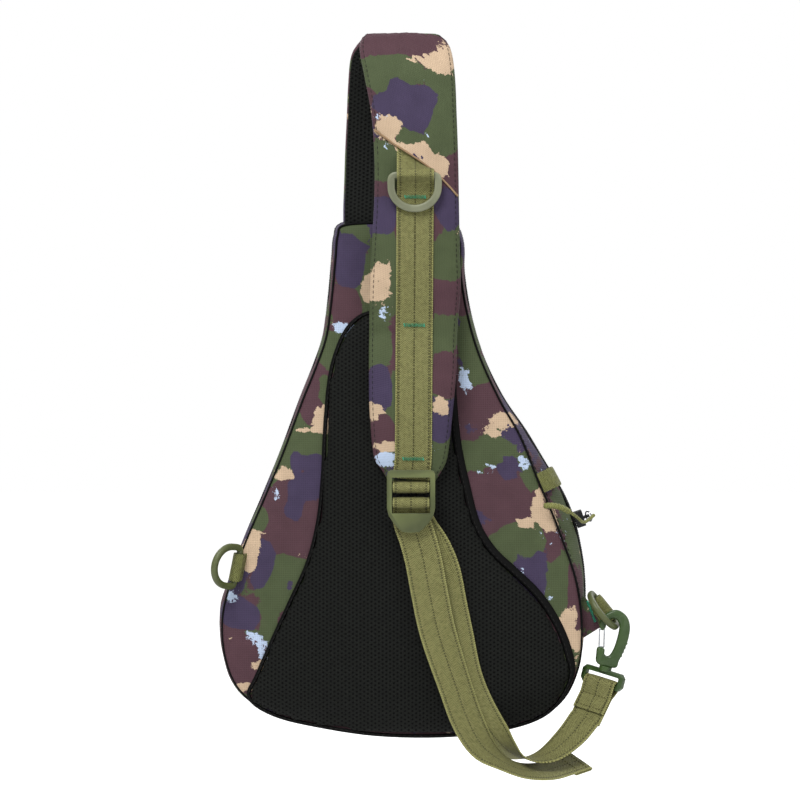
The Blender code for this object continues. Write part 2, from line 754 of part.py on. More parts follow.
# ---------------------------------------------------------------- snap hook
UP = Vector((math.sin(HOOK_LEAN), 0, math.cos(HOOK_LEAN)))
OVER = Vector((math.cos(HOOK_LEAN), 0, -math.sin(HOOK_LEAN)))
BACK = Vector((0, 1, 0))
EYE_OVER = OVER * math.cos(EYE_TURN) - BACK * math.sin(EYE_TURN)
EYE_OUT = -(OVER * math.sin(EYE_TURN) + BACK * math.cos(EYE_TURN))
LOOP_RUN = -UP * math.cos(LOOP_TILT) + EYE_OUT * math.sin(LOOP_TILT)
EYE_BAR = -12.0
LOOP_LENGTH = 21.0
SWIVEL_ROOM = 5.5


def snap_hook():
    outline = HOOK_OUTER + HOOK_INNER
    half = HOOK_THICK / 2
    sections = []
    for lift in (-half, half):
        sections.append([STEM + OVER * u + UP * v + BACK * lift for u, v in outline])
    body = sweep("snap_hook_body", sections, "hook")
    bore = cylinder("bore", STEM - UP * 1, STEM + UP * 6.2, 2.5, "hook")
    boolean(body, bore, "DIFFERENCE")


def hook_gate():
    foot = STEM + OVER * -6.2 + UP * 12.7
    tip = STEM + OVER * -8.7 + UP * 24.3
    rise = (tip - foot).normalized()
    length = (tip - foot).length
    wide = 1.9
    outline = [(-wide, .5), (-wide, length - .8), (-wide + .8, length), (wide - .8, length),
               (wide, length - .8), (wide, .5), (wide - .5, 0), (-wide + .5, 0)]
    wire_loop("snap_hook_gate", outline, foot, BACK, rise, 0.55, "silver", sides=6, pivot=foot)


def swivel_eye():
    outer = [(-14, -2), (14, -2), (16.5, -4.6), (16.5, -11.2), (14, -13.9), (-14, -13.9),
             (-16.5, -11.2), (-16.5, -4.6)]
    inner = [(-12.6, -5.2), (12.6, -5.2), (13.2, -5.8), (13.2, -9.6), (12.6, -10.2),
             (-12.6, -10.2), (-13.2, -9.6), (-13.2, -5.8)]
    thick = 2.0
    sections = []
    for (u, v), (p, q) in zip(outer, inner):
        wide = STEM + EYE_OVER * u + UP * v
        tight = STEM + EYE_OVER * p + UP * q
        sections.append([wide - EYE_OUT * thick, wide + EYE_OUT * thick,
                         tight + EYE_OUT * thick, tight - EYE_OUT * thick])
    eye = sweep("swivel_eye", sections, "hook", closed=True)
    boolean(eye, cylinder("collar", STEM - UP * 3.5, STEM + UP * 0.2, 4.3, "hook"), "UNION")
    boolean(eye, cylinder("pin", STEM - UP * 2.5, STEM + UP * 5.4, 2.0, "hook"), "UNION")
    eye.data.transform(Matrix.Translation(-STEM * MM))
    eye.location = STEM * MM


def hook_webbing():
    """Webbing sewn back on itself round the eye's lower bar."""
    bar = STEM + UP * EYE_BAR
    off = LOOP_RUN.cross(EYE_OVER).normalized()
    reach = 3.8
    arc = [(-reach * math.sin(t), reach * math.cos(t))
           for t in (math.pi * k / 6 for k in range(7))]
    path = [(LOOP_LENGTH, 0.9), (9, 0.9), (5, 2.3)] + arc + [(5, -2.3), (9, -0.9),
                                                             (LOOP_LENGTH, -0.9)]
    spots = [bar + LOOP_RUN * q + off * r for q, r in path]
    folded_strip("hook_webbing_loop", spots, EYE_OVER, WEBBING_WIDTH, "olive_webbing",
                 pivot=STEM)
    start = bar + LOOP_RUN * (LOOP_LENGTH + SWIVEL_ROOM)
    ribbon("webbing_load_run", LOAD_ROUTE + [(tuple(start), tuple(EYE_OVER))], "olive_webbing")
    ribbon("webbing_tail", TAIL_ROUTE, "olive_webbing")


# ---------------------------------------------------------------- main zip hardware
def right_step(z):
    """Outline step on the right side nearest to a height."""
    return min((i for i in range(len(BODY)) if BODY[i][0] > 0), key=lambda i: abs(BODY[i][1] - z))


def zip_end_tab():
    """Folded webbing over the wall beside the main zip."""
    i = right_step(-301)
    points = []
    for share, rise in ((.03, .8), (.05, 3.5), (.09, 6.2), (.14, 7.2), (.19, 6.2), (.225, 3.5),
                        (.245, .8)):
        points.append(body_point(i, share, rise + GAP))
    along = body_point(i + 1, .2, 0) - body_point(i - 1, .2, 0)
    along.y = 0
    folded_strip("zip_end_tab", points, along, 14, "olive_webbing")


ZIP_STEP = right_step(-332)
ZIP_SPOT = body_point(ZIP_STEP, ZIP_SHARE, 0)
ZIP_RUN = (body_point(right_step(-350), ZIP_SHARE, 0)
           - body_point(right_step(-310), ZIP_SHARE, 0)).normalized()
ZIP_ACROSS = (BACK - ZIP_RUN * ZIP_RUN.y).normalized()
ZIP_OUT = ZIP_ACROSS.cross(ZIP_RUN).normalized()
if ZIP_OUT.x < 0:
    ZIP_OUT = -ZIP_OUT
PULL_REST = (-ZIP_ACROSS * .87 + ZIP_OUT * .49).normalized()
SLIDER_LOW = 4.2
SLIDER_HALF = (5.5, 3.8, 1.4)
CORD_RADIUS = 1.2
GRIP_RADIUS = 2.1
LUG_HOLE = ZIP_SPOT + ZIP_OUT * (SLIDER_LOW + 4.6)


def block(name, centre, sides, look):
    """A box with its three half sides given as vectors."""
    a, b, c = sides
    ends = []
    for s in (-1, 1):
        ends.append([centre + a * p + b * q + c * s for p, q in ((-1, -1), (1, -1), (1, 1),
                                                                 (-1, 1))])
    return sweep(name, ends, look)


def main_zip_hardware():
    low = ZIP_SPOT + ZIP_OUT * (SLIDER_LOW + 1.4)
    half_run, half_across, half_out = SLIDER_HALF
    slider = block("main_zip_slider", low,
                   (ZIP_RUN * half_run, ZIP_ACROSS * half_across, ZIP_OUT * half_out), "black")
    lug = block("lug", LUG_HOLE, (ZIP_RUN * .8, ZIP_ACROSS * 2.6, ZIP_OUT * 2.4), "black")
    boolean(slider, lug, "UNION")
    hole = cylinder("hole", LUG_HOLE - ZIP_RUN * 3, LUG_HOLE + ZIP_RUN * 3, 1.3, "black", 12)
    boolean(slider, hole, "DIFFERENCE")
    radius = 3.6
    circle = [(radius * math.cos(math.tau * k / 14), radius * math.sin(math.tau * k / 14))
              for k in range(14)]
    wire_loop("main_zip_ring", circle, LUG_HOLE + PULL_REST * radius, ZIP_RUN, PULL_REST, 0.5,
              "silver", sides=6, pivot=LUG_HOLE)
    start = LUG_HOLE + PULL_REST * (2 * radius + 2.2)
    cord = [start, Vector((123, 17, -326)), Vector((117.5, 8, -322)), Vector((112.5, 1.5, -318.5))]
    grip = [Vector((111.5, .3, -318)), Vector((106, -4.2, -315)), Vector((100, -6.8, -313.6)),
            Vector((94, -8, -313.8))]
    round_rod("main_zip_cord", cord, CORD_RADIUS, "olive_webbing", LUG_HOLE)
    round_rod("main_zip_grip", grip, GRIP_RADIUS, "olive_plastic", LUG_HOLE)


def round_rod(name, route, radius, look, pivot, side=(0, 0, 1), sides=8):
    """A round rod along a smooth route that never runs along the side direction."""
    spots = smooth_points(route, 3)
    sections = []
    side = Vector(side)
    for k, spot in enumerate(spots):
        run = (spots[min(k + 1, len(spots) - 1)] - spots[max(k - 1, 0)]).normalized()
        across = run.cross(side).normalized()
        up = across.cross(run)
        sections.append([spot + (across * math.cos(math.tau * j / sides)
                                 + up * math.sin(math.tau * j / sides)) * radius
                         for j in range(sides)])
    return sweep(name, sections, look, smooth=True, pivot=pivot)


# ---------------------------------------------------------------- front pocket
def front_spot(x, z, out):
    """A point at a distance out from the front face."""
    return Vector((x, depth(z) * FRONT_FACE_SHARE + out, z))


def pocket_outline():
    """Rounded trapezoid of the front pocket, clockwise from its top left."""
    corners = [(-54, -300, 12), (54, -300, 12), (76, -440, 24), (-76, -440, 24)]
    points = []
    count = len(corners)
    for k, (x, z, radius) in enumerate(corners):
        before = Vector(corners[k - 1][:2]) - Vector((x, z))
        after = Vector(corners[(k + 1) % count][:2]) - Vector((x, z))
        start = Vector((x, z)) + before.normalized() * radius
        end = Vector((x, z)) + after.normalized() * radius
        for step in range(5):
            t = step / 4
            points.append(start * (1 - t) ** 2 + Vector((x, z)) * 2 * t * (1 - t) + end * t ** 2)
    return points


POCKET_DEPTH = 16.0
POCKET_ZIP_Z = -319.5
POCKET_SLIDER_X = -42.0
POCKET_COIL = 2.2


def front_pocket():
    outline = pocket_outline()
    normals = normals_2d(outline)

    def ring(inset, out):
        return [front_spot(p[0] - n[0] * inset, p[1] - n[1] * inset, out)
                for p, n in zip(outline, normals)]

    outer = [ring(0, GAP), ring(0, 9), ring(1.6, 13.5), ring(5.5, POCKET_DEPTH)]
    inner = [ring(1.8, GAP), ring(1.8, 8.6), ring(6.3, POCKET_DEPTH - 1.8)]
    pocket = tray("front_pocket", outer, inner, "camo")
    slot = block("slot", front_spot(0, POCKET_ZIP_Z, POCKET_DEPTH),
                 (Vector((49, 0, 0)), Vector((0, 0, 2.5)), Vector((0, 8, 0))), "camo")
    boolean(pocket, slot, "DIFFERENCE")


def pocket_zip():
    base = POCKET_DEPTH + GAP
    coil = POCKET_COIL
    profile = [(-7.5, 0), (7.5, 0), (7.5, 1), (1.6, 1), (1.6, coil), (-1.6, coil), (-1.6, 1),
               (-7.5, 1)]
    sections = [[front_spot(x, POCKET_ZIP_Z + z, base + out) for z, out in profile]
                for x in (-55, 55)]
    sweep("front_pocket_zip_tape", sections, "black")
    half_run, half_across, half_out = SLIDER_HALF
    centre = front_spot(POCKET_SLIDER_X, POCKET_ZIP_Z, base + coil + GAP + half_out)
    slider = block("front_pocket_slider", centre,
                   (Vector((half_run, 0, 0)), Vector((0, 0, half_across)),
                    Vector((0, half_out, 0))), "black")
    lug = block("lug", centre + Vector((0, 2.6, 0)), (Vector((.8, 0, 0)), Vector((0, 0, 2.6)),
                                                      Vector((0, 2.4, 0))), "black")
    boolean(slider, lug, "UNION")
    pivot = centre + Vector((0, 3.4, -2.6))
    top = pivot.z - 1.9
    out = base + coil + GAP + 4.8

    def hang(drop):
        return front_spot(centre.x, top - drop, out)

    cord = [hang(0), hang(6), hang(12)]
    grip = [hang(12.4), hang(22), hang(33)]
    round_rod("front_pocket_cord", cord, CORD_RADIUS, "olive_webbing", pivot, side=(1, 0, 0))
    round_rod("front_pocket_grip", grip, GRIP_RADIUS, "olive_plastic", pivot, side=(1, 0, 0))


def build():
    clear_scene()
    back_panel()
    rear_gusset()
    front_gusset()
    front_panel()
    lining("rear_lining", (ZIP_SHARE, .22, .1, 0.0), -1.0, BACK_PANEL_THICK + GAP, 1)
    lining("front_lining", (ZIP_SHARE, .55, .72, .86, FRONT_FACE_SHARE), 1.0,
           -FRONT_PANEL_THICK - GAP, -1)
    inner_pocket()
    zip_tape("main_zip_tape_rear", -GAP, -7.0)
    zip_tape("main_zip_tape_front", GAP, 7.0)
    back_pad()
    whole_layer("strap_mesh_lining", LINING, "mesh", 0.0)
    whole_layer("strap_foam", FOAM, "foam", 1.5)
    strap_covers()
    strap_piping()
    strap_webbing()
    bar_tack("bar_tack_upper", -106)
    bar_tack("bar_tack_middle", -191)
    bar_tack("bar_tack_lower", -281)
    rings()
    wing_tab()
    ladder_lock()
    snap_hook()
    hook_gate()
    swivel_eye()
    hook_webbing()
    zip_end_tab()
    main_zip_hardware()
    front_pocket()
    pocket_zip()


build()
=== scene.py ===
"""Looks of the sling bag: fabric, webbing, zips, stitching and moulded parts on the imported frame.

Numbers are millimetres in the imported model's frame, unless a name says otherwise.
"""
import json
import math
import random

import bmesh
import bpy
from mathutils import Matrix, Vector, noise


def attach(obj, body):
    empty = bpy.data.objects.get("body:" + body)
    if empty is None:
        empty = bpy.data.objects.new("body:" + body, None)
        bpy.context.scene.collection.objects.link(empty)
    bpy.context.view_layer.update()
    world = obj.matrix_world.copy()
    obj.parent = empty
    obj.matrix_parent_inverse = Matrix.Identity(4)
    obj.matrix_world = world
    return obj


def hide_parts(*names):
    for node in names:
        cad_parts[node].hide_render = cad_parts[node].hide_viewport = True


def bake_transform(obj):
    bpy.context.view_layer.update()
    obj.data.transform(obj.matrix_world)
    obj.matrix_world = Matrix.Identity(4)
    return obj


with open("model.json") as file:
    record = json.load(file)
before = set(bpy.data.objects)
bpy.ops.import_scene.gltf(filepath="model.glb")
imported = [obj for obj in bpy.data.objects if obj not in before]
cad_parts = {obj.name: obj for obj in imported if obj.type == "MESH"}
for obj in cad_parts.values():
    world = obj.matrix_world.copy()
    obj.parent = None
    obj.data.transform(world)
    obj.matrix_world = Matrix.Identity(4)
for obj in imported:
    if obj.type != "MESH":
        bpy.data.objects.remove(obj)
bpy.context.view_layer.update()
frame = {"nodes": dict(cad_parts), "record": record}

MM = 0.001
SWELL_FRAMES = 20
FRONT_DEPTH = 100.0
X, Y, Z = Vector((1, 0, 0)), Vector((0, 1, 0)), Vector((0, 0, 1))

# ---------------------------------------------------------------- camera, light and floor
VIEW_WIDTH = 541.0
VIEW_DISTANCE = 1800.0
VIEW_CENTRE = Vector((-3.4, -12.0, -242.0))

# Metres, as Blender takes them
FLOOR_HALF = 9.0
FLOOR_LEVEL = -0.62
LIGHT_AIM = Vector((0, 0, -0.25))
LIGHTS = (("key", (-0.5, -1.3, 1.3), 0.9, 38.0),
          ("fill", (1.3, -1.3, 0.2), 1.0, 5.0),
          ("rim_left", (-1.2, 1.4, 0.9), 0.8, 12.0),
          ("rim_right", (1.3, 1.3, 0.9), 0.8, 12.0))


def seen_by_camera(nodes, links, socket, hidden, seen):
    """Gives a socket one value for the camera's own rays and another for all others."""
    path = nodes.new("ShaderNodeLightPath")
    between = nodes.new("ShaderNodeMapRange")
    between.inputs["To Min"].default_value = hidden
    between.inputs["To Max"].default_value = seen
    links.new(path.outputs["Is Camera Ray"], between.inputs["Value"])
    links.new(between.outputs["Result"], socket)


def stage_and_light():
    camera_data = bpy.data.cameras.new("camera")
    camera_data.lens = camera_data.sensor_width * VIEW_DISTANCE / VIEW_WIDTH
    camera = bpy.data.objects.new("camera", camera_data)
    camera.location = (VIEW_CENTRE - Y * VIEW_DISTANCE) * MM
    camera.rotation_euler = (math.radians(90), 0, 0)
    bpy.context.scene.collection.objects.link(camera)
    bpy.context.scene.camera = camera

    mesh = bpy.data.meshes.new("floor")
    corners = [(x * FLOOR_HALF, y * FLOOR_HALF, FLOOR_LEVEL)
               for x, y in ((-1, -1), (1, -1), (1, 1), (-1, 1))]
    mesh.from_pydata(corners, [], [(0, 1, 2, 3)])
    floor = bpy.data.objects.new("floor", mesh)
    bpy.context.scene.collection.objects.link(floor)
    pale = bpy.data.materials.new("floor_pale")
    pale.use_nodes = True
    nodes, links = pale.node_tree.nodes, pale.node_tree.links
    shader = nodes["Principled BSDF"]
    shader.inputs["Base Color"].default_value = (0.8, 0.8, 0.8, 1)
    shader.inputs["Roughness"].default_value = 0.9
    shader.inputs["Specular IOR Level"].default_value = 0.0
    shader.inputs["Emission Color"].default_value = (1, 1, 1, 1)
    seen_by_camera(nodes, links, shader.inputs["Emission Strength"], 0.0, 0.62)
    mesh.materials.append(pale)

    world = bpy.data.worlds.new("studio")
    world.use_nodes = True
    nodes, links = world.node_tree.nodes, world.node_tree.links
    nodes["Background"].inputs["Color"].default_value = (1, 1, 1, 1)
    seen_by_camera(nodes, links, nodes["Background"].inputs["Strength"], 0.56, 1.0)
    bpy.context.scene.world = world
    bpy.context.scene.view_settings.view_transform = "Standard"

    for name, place, size, power in LIGHTS:
        data = bpy.data.lights.new(name, "AREA")
        data.shape = "DISK"
        data.size = size
        data.energy = power
        lamp = bpy.data.objects.new(name, data)
        lamp.location = place
        lamp.rotation_euler = (LIGHT_AIM - Vector(place)).to_track_quat("-Z", "Y").to_euler()
        bpy.context.scene.collection.objects.link(lamp)


# ---------------------------------------------------------------- materials
class Shader:
    """A Principled material whose node sockets are set or linked in one call."""

    def __init__(self, name, **constants):
        self.material = bpy.data.materials.new(name)
        self.material.use_nodes = True
        self.tree = self.material.node_tree
        self.base = self.tree.nodes["Principled BSDF"]
        for key, value in constants.items():
            self.base.inputs[key.replace("_", " ")].default_value = value

    def feed(self, socket, value):
        """Links a node's output to a socket, or sets the socket to a constant."""
        if isinstance(value, bpy.types.NodeSocket):
            self.tree.links.new(value, socket)
        else:
            socket.default_value = value

    def node(self, kind, inputs=None, out=0, **settings):
        made = self.tree.nodes.new(kind)
        for key, value in settings.items():
            setattr(made, key, value)
        for key, value in (inputs or {}).items():
            self.feed(made.inputs[key], value)
        return made.outputs[out]

    def math(self, operation, *values):
        return self.node("ShaderNodeMath", dict(enumerate(values)), operation=operation)

    def colour(self, value):
        """Sets the surface colour; roughness() does the same for the gloss."""
        self.feed(self.base.inputs["Base Color"], value)

    def roughness(self, value):
        self.feed(self.base.inputs["Roughness"], value)

    def coords(self, kind="Object"):
        return self.tree.nodes.new("ShaderNodeTexCoord").outputs[kind]

    def noise(self, vector, scale, detail=2.0, rough=0.5, warp=0.0):
        return self.node("ShaderNodeTexNoise", {"Vector": vector, "Scale": scale, "Detail": detail,
                                                "Roughness": rough, "Distortion": warp})

    def ramp(self, value, low, high, to_low=0.0, to_high=1.0):
        """Maps low..high onto to_low..to_high, clamped."""
        return self.node("ShaderNodeMapRange", {0: value, 1: low, 2: high, 3: to_low, 4: to_high})

    def mix(self, factor, a, b):
        made = self.tree.nodes.new("ShaderNodeMix")
        made.data_type = "RGBA"
        self.feed(made.inputs[0], factor)
        self.feed(made.inputs[6], a)
        self.feed(made.inputs[7], b)
        return made.outputs[2]

    def bump(self, height, distance, strength=1.0):
        normal = self.node("ShaderNodeBump", {"Height": height, "Distance": distance * MM,
                                              "Strength": strength})
        self.feed(self.base.inputs["Normal"], normal)

    def split(self, vector):
        made = self.tree.nodes.new("ShaderNodeSeparateXYZ")
        self.feed(made.inputs[0], vector)
        return made.outputs

    def wave(self, value, pitch, phase=0.0):
        """0 to 1 sine of a length in metres."""
        turn = self.math("MULTIPLY_ADD", value, math.tau / (pitch * MM), phase)
        return self.math("MULTIPLY_ADD", self.math("SINE", turn), 0.5, 0.5)


def tint(r, g, b):
    """Linear colour from display values of 0 to 255."""
    return tuple((v / 255) ** 2.2 for v in (r, g, b)) + (1.0,)


def times(colour, factor):
    """The colour made lighter or darker, and still opaque."""
    return tuple(min(1.0, c * factor) for c in colour[:3]) + (1.0,)


def moved(shader, vector, x, y, z):
    """The pattern's place, shifted so that two inks don't share one pattern."""
    return shader.node("ShaderNodeVectorMath", {0: vector, 1: (x, y, z)}, operation="ADD")


RIPSTOP_PITCH = 1.25
THREAD_PITCH = 0.34

# The inks, in printing order: colour, feature scale, detail, roughness, pattern shift, level that
# the field has to reach, share of ragged edge
INKS = ((tint(74, 83, 59), 27.0, 2.0, 0.5, (0.3, 0.0, 0.0), 0.51, 0.07),
        (tint(66, 58, 80), 25.0, 2.0, 0.5, (1.7, 0.4, 0.0), 0.59, 0.07),
        (tint(188, 164, 138), 38.0, 4.0, 0.6, (2.9, 1.1, 0.3), 0.63, 0.3),
        (tint(176, 192, 216), 52.0, 5.0, 0.7, (4.1, 2.3, 0.9), 0.68, 0.42))
INK_EDGE = 0.004


def camo_material():
    """Printed ripstop: four inks over a maroon ground, on a fine raised grid whose lines carry a painted
    highlight.
    """
    s = Shader("camo_ripstop", Roughness=0.62, Specular_IOR_Level=0.12)
    place = s.coords()
    attribute = s.tree.nodes.new("ShaderNodeAttribute")
    attribute.attribute_name = "print"
    parts = s.tree.nodes.new("ShaderNodeSeparateColor")
    s.feed(parts.inputs[0], attribute.outputs["Color"])
    bias = [parts.outputs[0], parts.outputs[1], parts.outputs[2], attribute.outputs["Alpha"]]
    colour = tint(80, 58, 64)
    ragged = s.ramp(s.noise(place, 260.0, 5.0, 0.75), 0.32, 0.68, -0.5, 0.5)
    for ink, (paint, scale, detail, rough, shift, level, tear) in enumerate(INKS):
        field = s.noise(moved(s, place, *shift), scale, detail, rough, warp=0.3)
        field = s.math("ADD", field, bias[ink])
        field = s.math("MULTIPLY_ADD", ragged, tear, field)
        colour = s.mix(s.ramp(field, level - INK_EDGE, level + INK_EDGE), colour, paint)
    u, v, _ = s.split(s.coords("UV"))
    grid = s.math("MAXIMUM", s.math("POWER", s.wave(u, RIPSTOP_PITCH), 5.0),
                  s.math("POWER", s.wave(v, RIPSTOP_PITCH), 5.0))
    fine = s.math("MULTIPLY", s.wave(u, THREAD_PITCH), s.wave(v, THREAD_PITCH))
    fade = s.noise(place, 90.0, 4.0)
    # The grid's lines are painted lighter, a painted highlight on the raised threads, over a random
    # unevenness of tone
    shade = s.math("MULTIPLY_ADD", grid, 0.28, s.math("MULTIPLY_ADD", fade, 0.34, 0.68))
    scaled = s.node("ShaderNodeVectorMath", {0: colour, "Scale": shade}, operation="SCALE")
    s.colour(scaled)
    s.roughness(s.ramp(grid, 0, 1, 0.66, 0.5))
    s.bump(s.math("MULTIPLY_ADD", fine, 0.35, grid), 0.1)
    return s.material


HOLE_PITCH = 2.9
KNIT_PITCH = 0.45


def mesh_material():
    """Black spacer mesh: rows of small round holes in a knitted face."""
    s = Shader("spacer_mesh", Roughness=0.6, Specular_IOR_Level=0.16)
    u, v, _ = s.split(s.coords("UV"))
    row = HOLE_PITCH * math.cos(math.radians(30))
    total = None
    for turn in (0, 60, 120):
        c, n = math.cos(math.radians(turn)), math.sin(math.radians(turn))
        run = s.math("MULTIPLY_ADD", u, c, s.math("MULTIPLY", v, n))
        part = s.math("COSINE", s.math("MULTIPLY", run, math.tau / (row * MM)))
        total = part if total is None else s.math("ADD", total, part)
    hole = s.ramp(total, 0.1, 2.2)
    knit = s.math("MULTIPLY", s.wave(u, KNIT_PITCH), s.wave(v, KNIT_PITCH))
    tone = s.mix(hole, tint(23, 25, 22), tint(4, 4, 4))
    grain = s.noise(s.coords(), 300.0, 3.0)
    s.colour(s.mix(s.ramp(grain, 0.3, 0.8, 0, 0.5), tone, tint(10, 11, 10)))
    s.roughness(s.ramp(hole, 0, 1, 0.62, 0.95))
    s.bump(s.math("SUBTRACT", s.math("MULTIPLY", knit, 0.25), hole), 0.6)
    return s.material


SEWN_ROW = 10.3
SELVEDGE = 11.5


def webbing_material(name, dark, light, chevron=3.1, lines=True):
    """Woven nylon: chevron twill across the width, sewn lines and a pale selvedge."""
    s = Shader(name, Roughness=0.6, Sheen_Weight=0.05, Specular_IOR_Level=0.25)
    u, v, _ = s.split(s.coords("UV"))
    fold = s.math("PINGPONG", u, chevron * MM)
    lean = s.math("MULTIPLY_ADD", fold, 0.8, v)
    twill = s.wave(lean, 1.25)
    warp = s.wave(u, 0.85)
    height = s.math("MULTIPLY_ADD", warp, 0.6, twill)
    place = s.coords()
    patchy = s.noise(place, 500.0, 4.0)
    blend = s.math("MULTIPLY_ADD", height, 0.5, s.math("MULTIPLY_ADD", patchy, 0.6, -0.2))
    colour = s.mix(s.ramp(blend, 0.15, 0.75), dark, light)
    if lines:
        across = s.math("ABSOLUTE", u)
        middle = s.ramp(across, 0.3 * MM, 0.7 * MM, 1.0, 0.0)
        side = s.math("ABSOLUTE", s.math("SUBTRACT", across, SEWN_ROW * MM))
        rows = s.math("MAXIMUM", middle, s.ramp(side, 0.3 * MM, 0.7 * MM, 1.0, 0.0))
        dash = s.math("MULTIPLY", rows, s.ramp(s.wave(v, 2.0), 0.3, 0.6))
        height = s.math("SUBTRACT", height, s.math("MULTIPLY", dash, 1.4))
        colour = s.mix(s.math("MULTIPLY", dash, 0.75), colour, times(dark, 0.3))
        edge = s.math("MULTIPLY", s.ramp(across, SELVEDGE * MM, (SELVEDGE + 0.4) * MM),
                      s.ramp(s.wave(v, 1.5), 0.35, 0.65))
        colour = s.mix(s.math("MULTIPLY", edge, 0.6), colour, times(light, 1.6))
    s.colour(colour)
    s.roughness(s.ramp(twill, 0, 1, 0.68, 0.48))
    s.bump(height, 0.18)
    return s.material


POINTINESS = 7


def plastic_material(name, dark, light, rough=0.42):
    """Moulded acetal: fine spark-eroded grain, paler on its sharp convex edges."""
    s = Shader(name, Roughness=rough, Specular_IOR_Level=0.45)
    place = s.coords()
    mottle = s.noise(place, 60.0, 4.0)
    edge = s.ramp(s.node("ShaderNodeNewGeometry", out=POINTINESS), 0.52, 0.60)
    colour = s.mix(s.ramp(mottle, 0.3, 0.7), dark, light)
    s.colour(s.mix(s.math("MULTIPLY", edge, 0.6), colour, times(light, 1.7)))
    grain = s.noise(place, 2200.0, 2.0)
    s.roughness(s.ramp(s.noise(place, 400.0, 3.0), 0.3, 0.7, rough - 0.07, rough + 0.1))
    s.bump(grain, 0.03, 0.6)
    return s.material


def metal_material(name, colour, rough, metallic=1.0):
    s = Shader(name, Metallic=metallic)
    place = s.coords()
    s.colour(s.mix(s.ramp(s.noise(place, 500.0, 4.0), 0.35, 0.7), colour, times(colour, 0.75)))
    s.roughness(s.ramp(s.noise(place, 900.0, 3.0), 0.3, 0.7, rough * 0.8, rough * 1.3))
    s.bump(s.noise(place, 1500.0, 2.0), 0.01)
    return s.material


def thread_material(name, colour):
    s = Shader(name, Roughness=0.55, Specular_IOR_Level=0.25)
    place = s.coords()
    twist = s.noise(place, 1800.0, 3.0)
    s.colour(s.mix(s.ramp(twist, 0.35, 0.65), times(colour, 0.55), colour))
    s.bump(twist, 0.06)
    return s.material


def plain_weave_material(name, dark, light, pitch=0.7, rough=0.75):
    """Tape and lining cloth: a square weave."""
    s = Shader(name, Roughness=rough, Specular_IOR_Level=0.15)
    u, v, _ = s.split(s.coords("UV"))
    over = s.math("MULTIPLY", s.wave(u, pitch), s.wave(v, pitch))
    under = s.math("MULTIPLY", s.wave(u, pitch, math.pi), s.wave(v, pitch, math.pi))
    height = s.math("ADD", over, under)
    fade = s.noise(s.coords(), 60.0, 4.0)
    s.colour(s.mix(s.math("MULTIPLY", height, fade), dark, light))
    s.roughness(s.ramp(height, 0, 1, rough + 0.1, rough - 0.1))
    s.bump(height, 0.07)
    return s.material


OLIVE_DARK, OLIVE_LIGHT = tint(62, 61, 28), tint(134, 133, 84)
CAMO = camo_material()
MESH = mesh_material()
WEBBING = webbing_material("olive_webbing_weave", OLIVE_DARK, OLIVE_LIGHT)
KEEPER = webbing_material("olive_keeper_weave", tint(60, 62, 30), tint(118, 120, 70), lines=False)
CORD = webbing_material("olive_cord_braid", tint(80, 82, 40), tint(140, 142, 84), 1.0, False)
BINDING = plain_weave_material("black_binding_weave", tint(4, 4, 4), tint(17, 17, 17))
TAPE = plain_weave_material("zip_tape_weave", tint(6, 6, 7), tint(28, 28, 30), 0.9)
LINING = plain_weave_material("lining_weave", tint(40, 41, 38), tint(72, 73, 68), 0.6, 0.6)
TAN_PIPING = plain_weave_material("tan_piping_weave", tint(120, 98, 74), tint(196, 164, 130), 0.5)
OLIVE_PLASTIC = plastic_material("olive_acetal", tint(64, 70, 40), tint(82, 88, 54))
GREY_OLIVE = plastic_material("grey_olive_acetal", tint(98, 101, 80), tint(118, 121, 98))
HOOK_GREEN = plastic_material("hook_acetal", tint(42, 60, 30), tint(58, 78, 42), 0.36)
COIL = plastic_material("black_coil", tint(10, 10, 11), tint(24, 24, 26), 0.4)
SILVER = metal_material("silver_wire_metal", tint(214, 218, 224), 0.22)
MAIN_SLIDER_ENAMEL = metal_material("black_enamel_metal", tint(26, 27, 29), 0.4, 0.35)
POCKET_SLIDER_ENAMEL = metal_material("black_slider_enamel", tint(30, 30, 32), 0.35, 0.6)
THREAD = thread_material("olive_thread", tint(84, 80, 44))
DARK_THREAD = thread_material("dark_thread", tint(30, 29, 27))
TEAL = thread_material("teal_thread", tint(70, 205, 168))


def clamp(value):
    """The value, kept between 0 and 1."""
    return min(max(value, 0.0), 1.0)


# ---------------------------------------------------------------- printed patches
GREEN, NAVY, TAN, BLUE, MAROON = range(5)

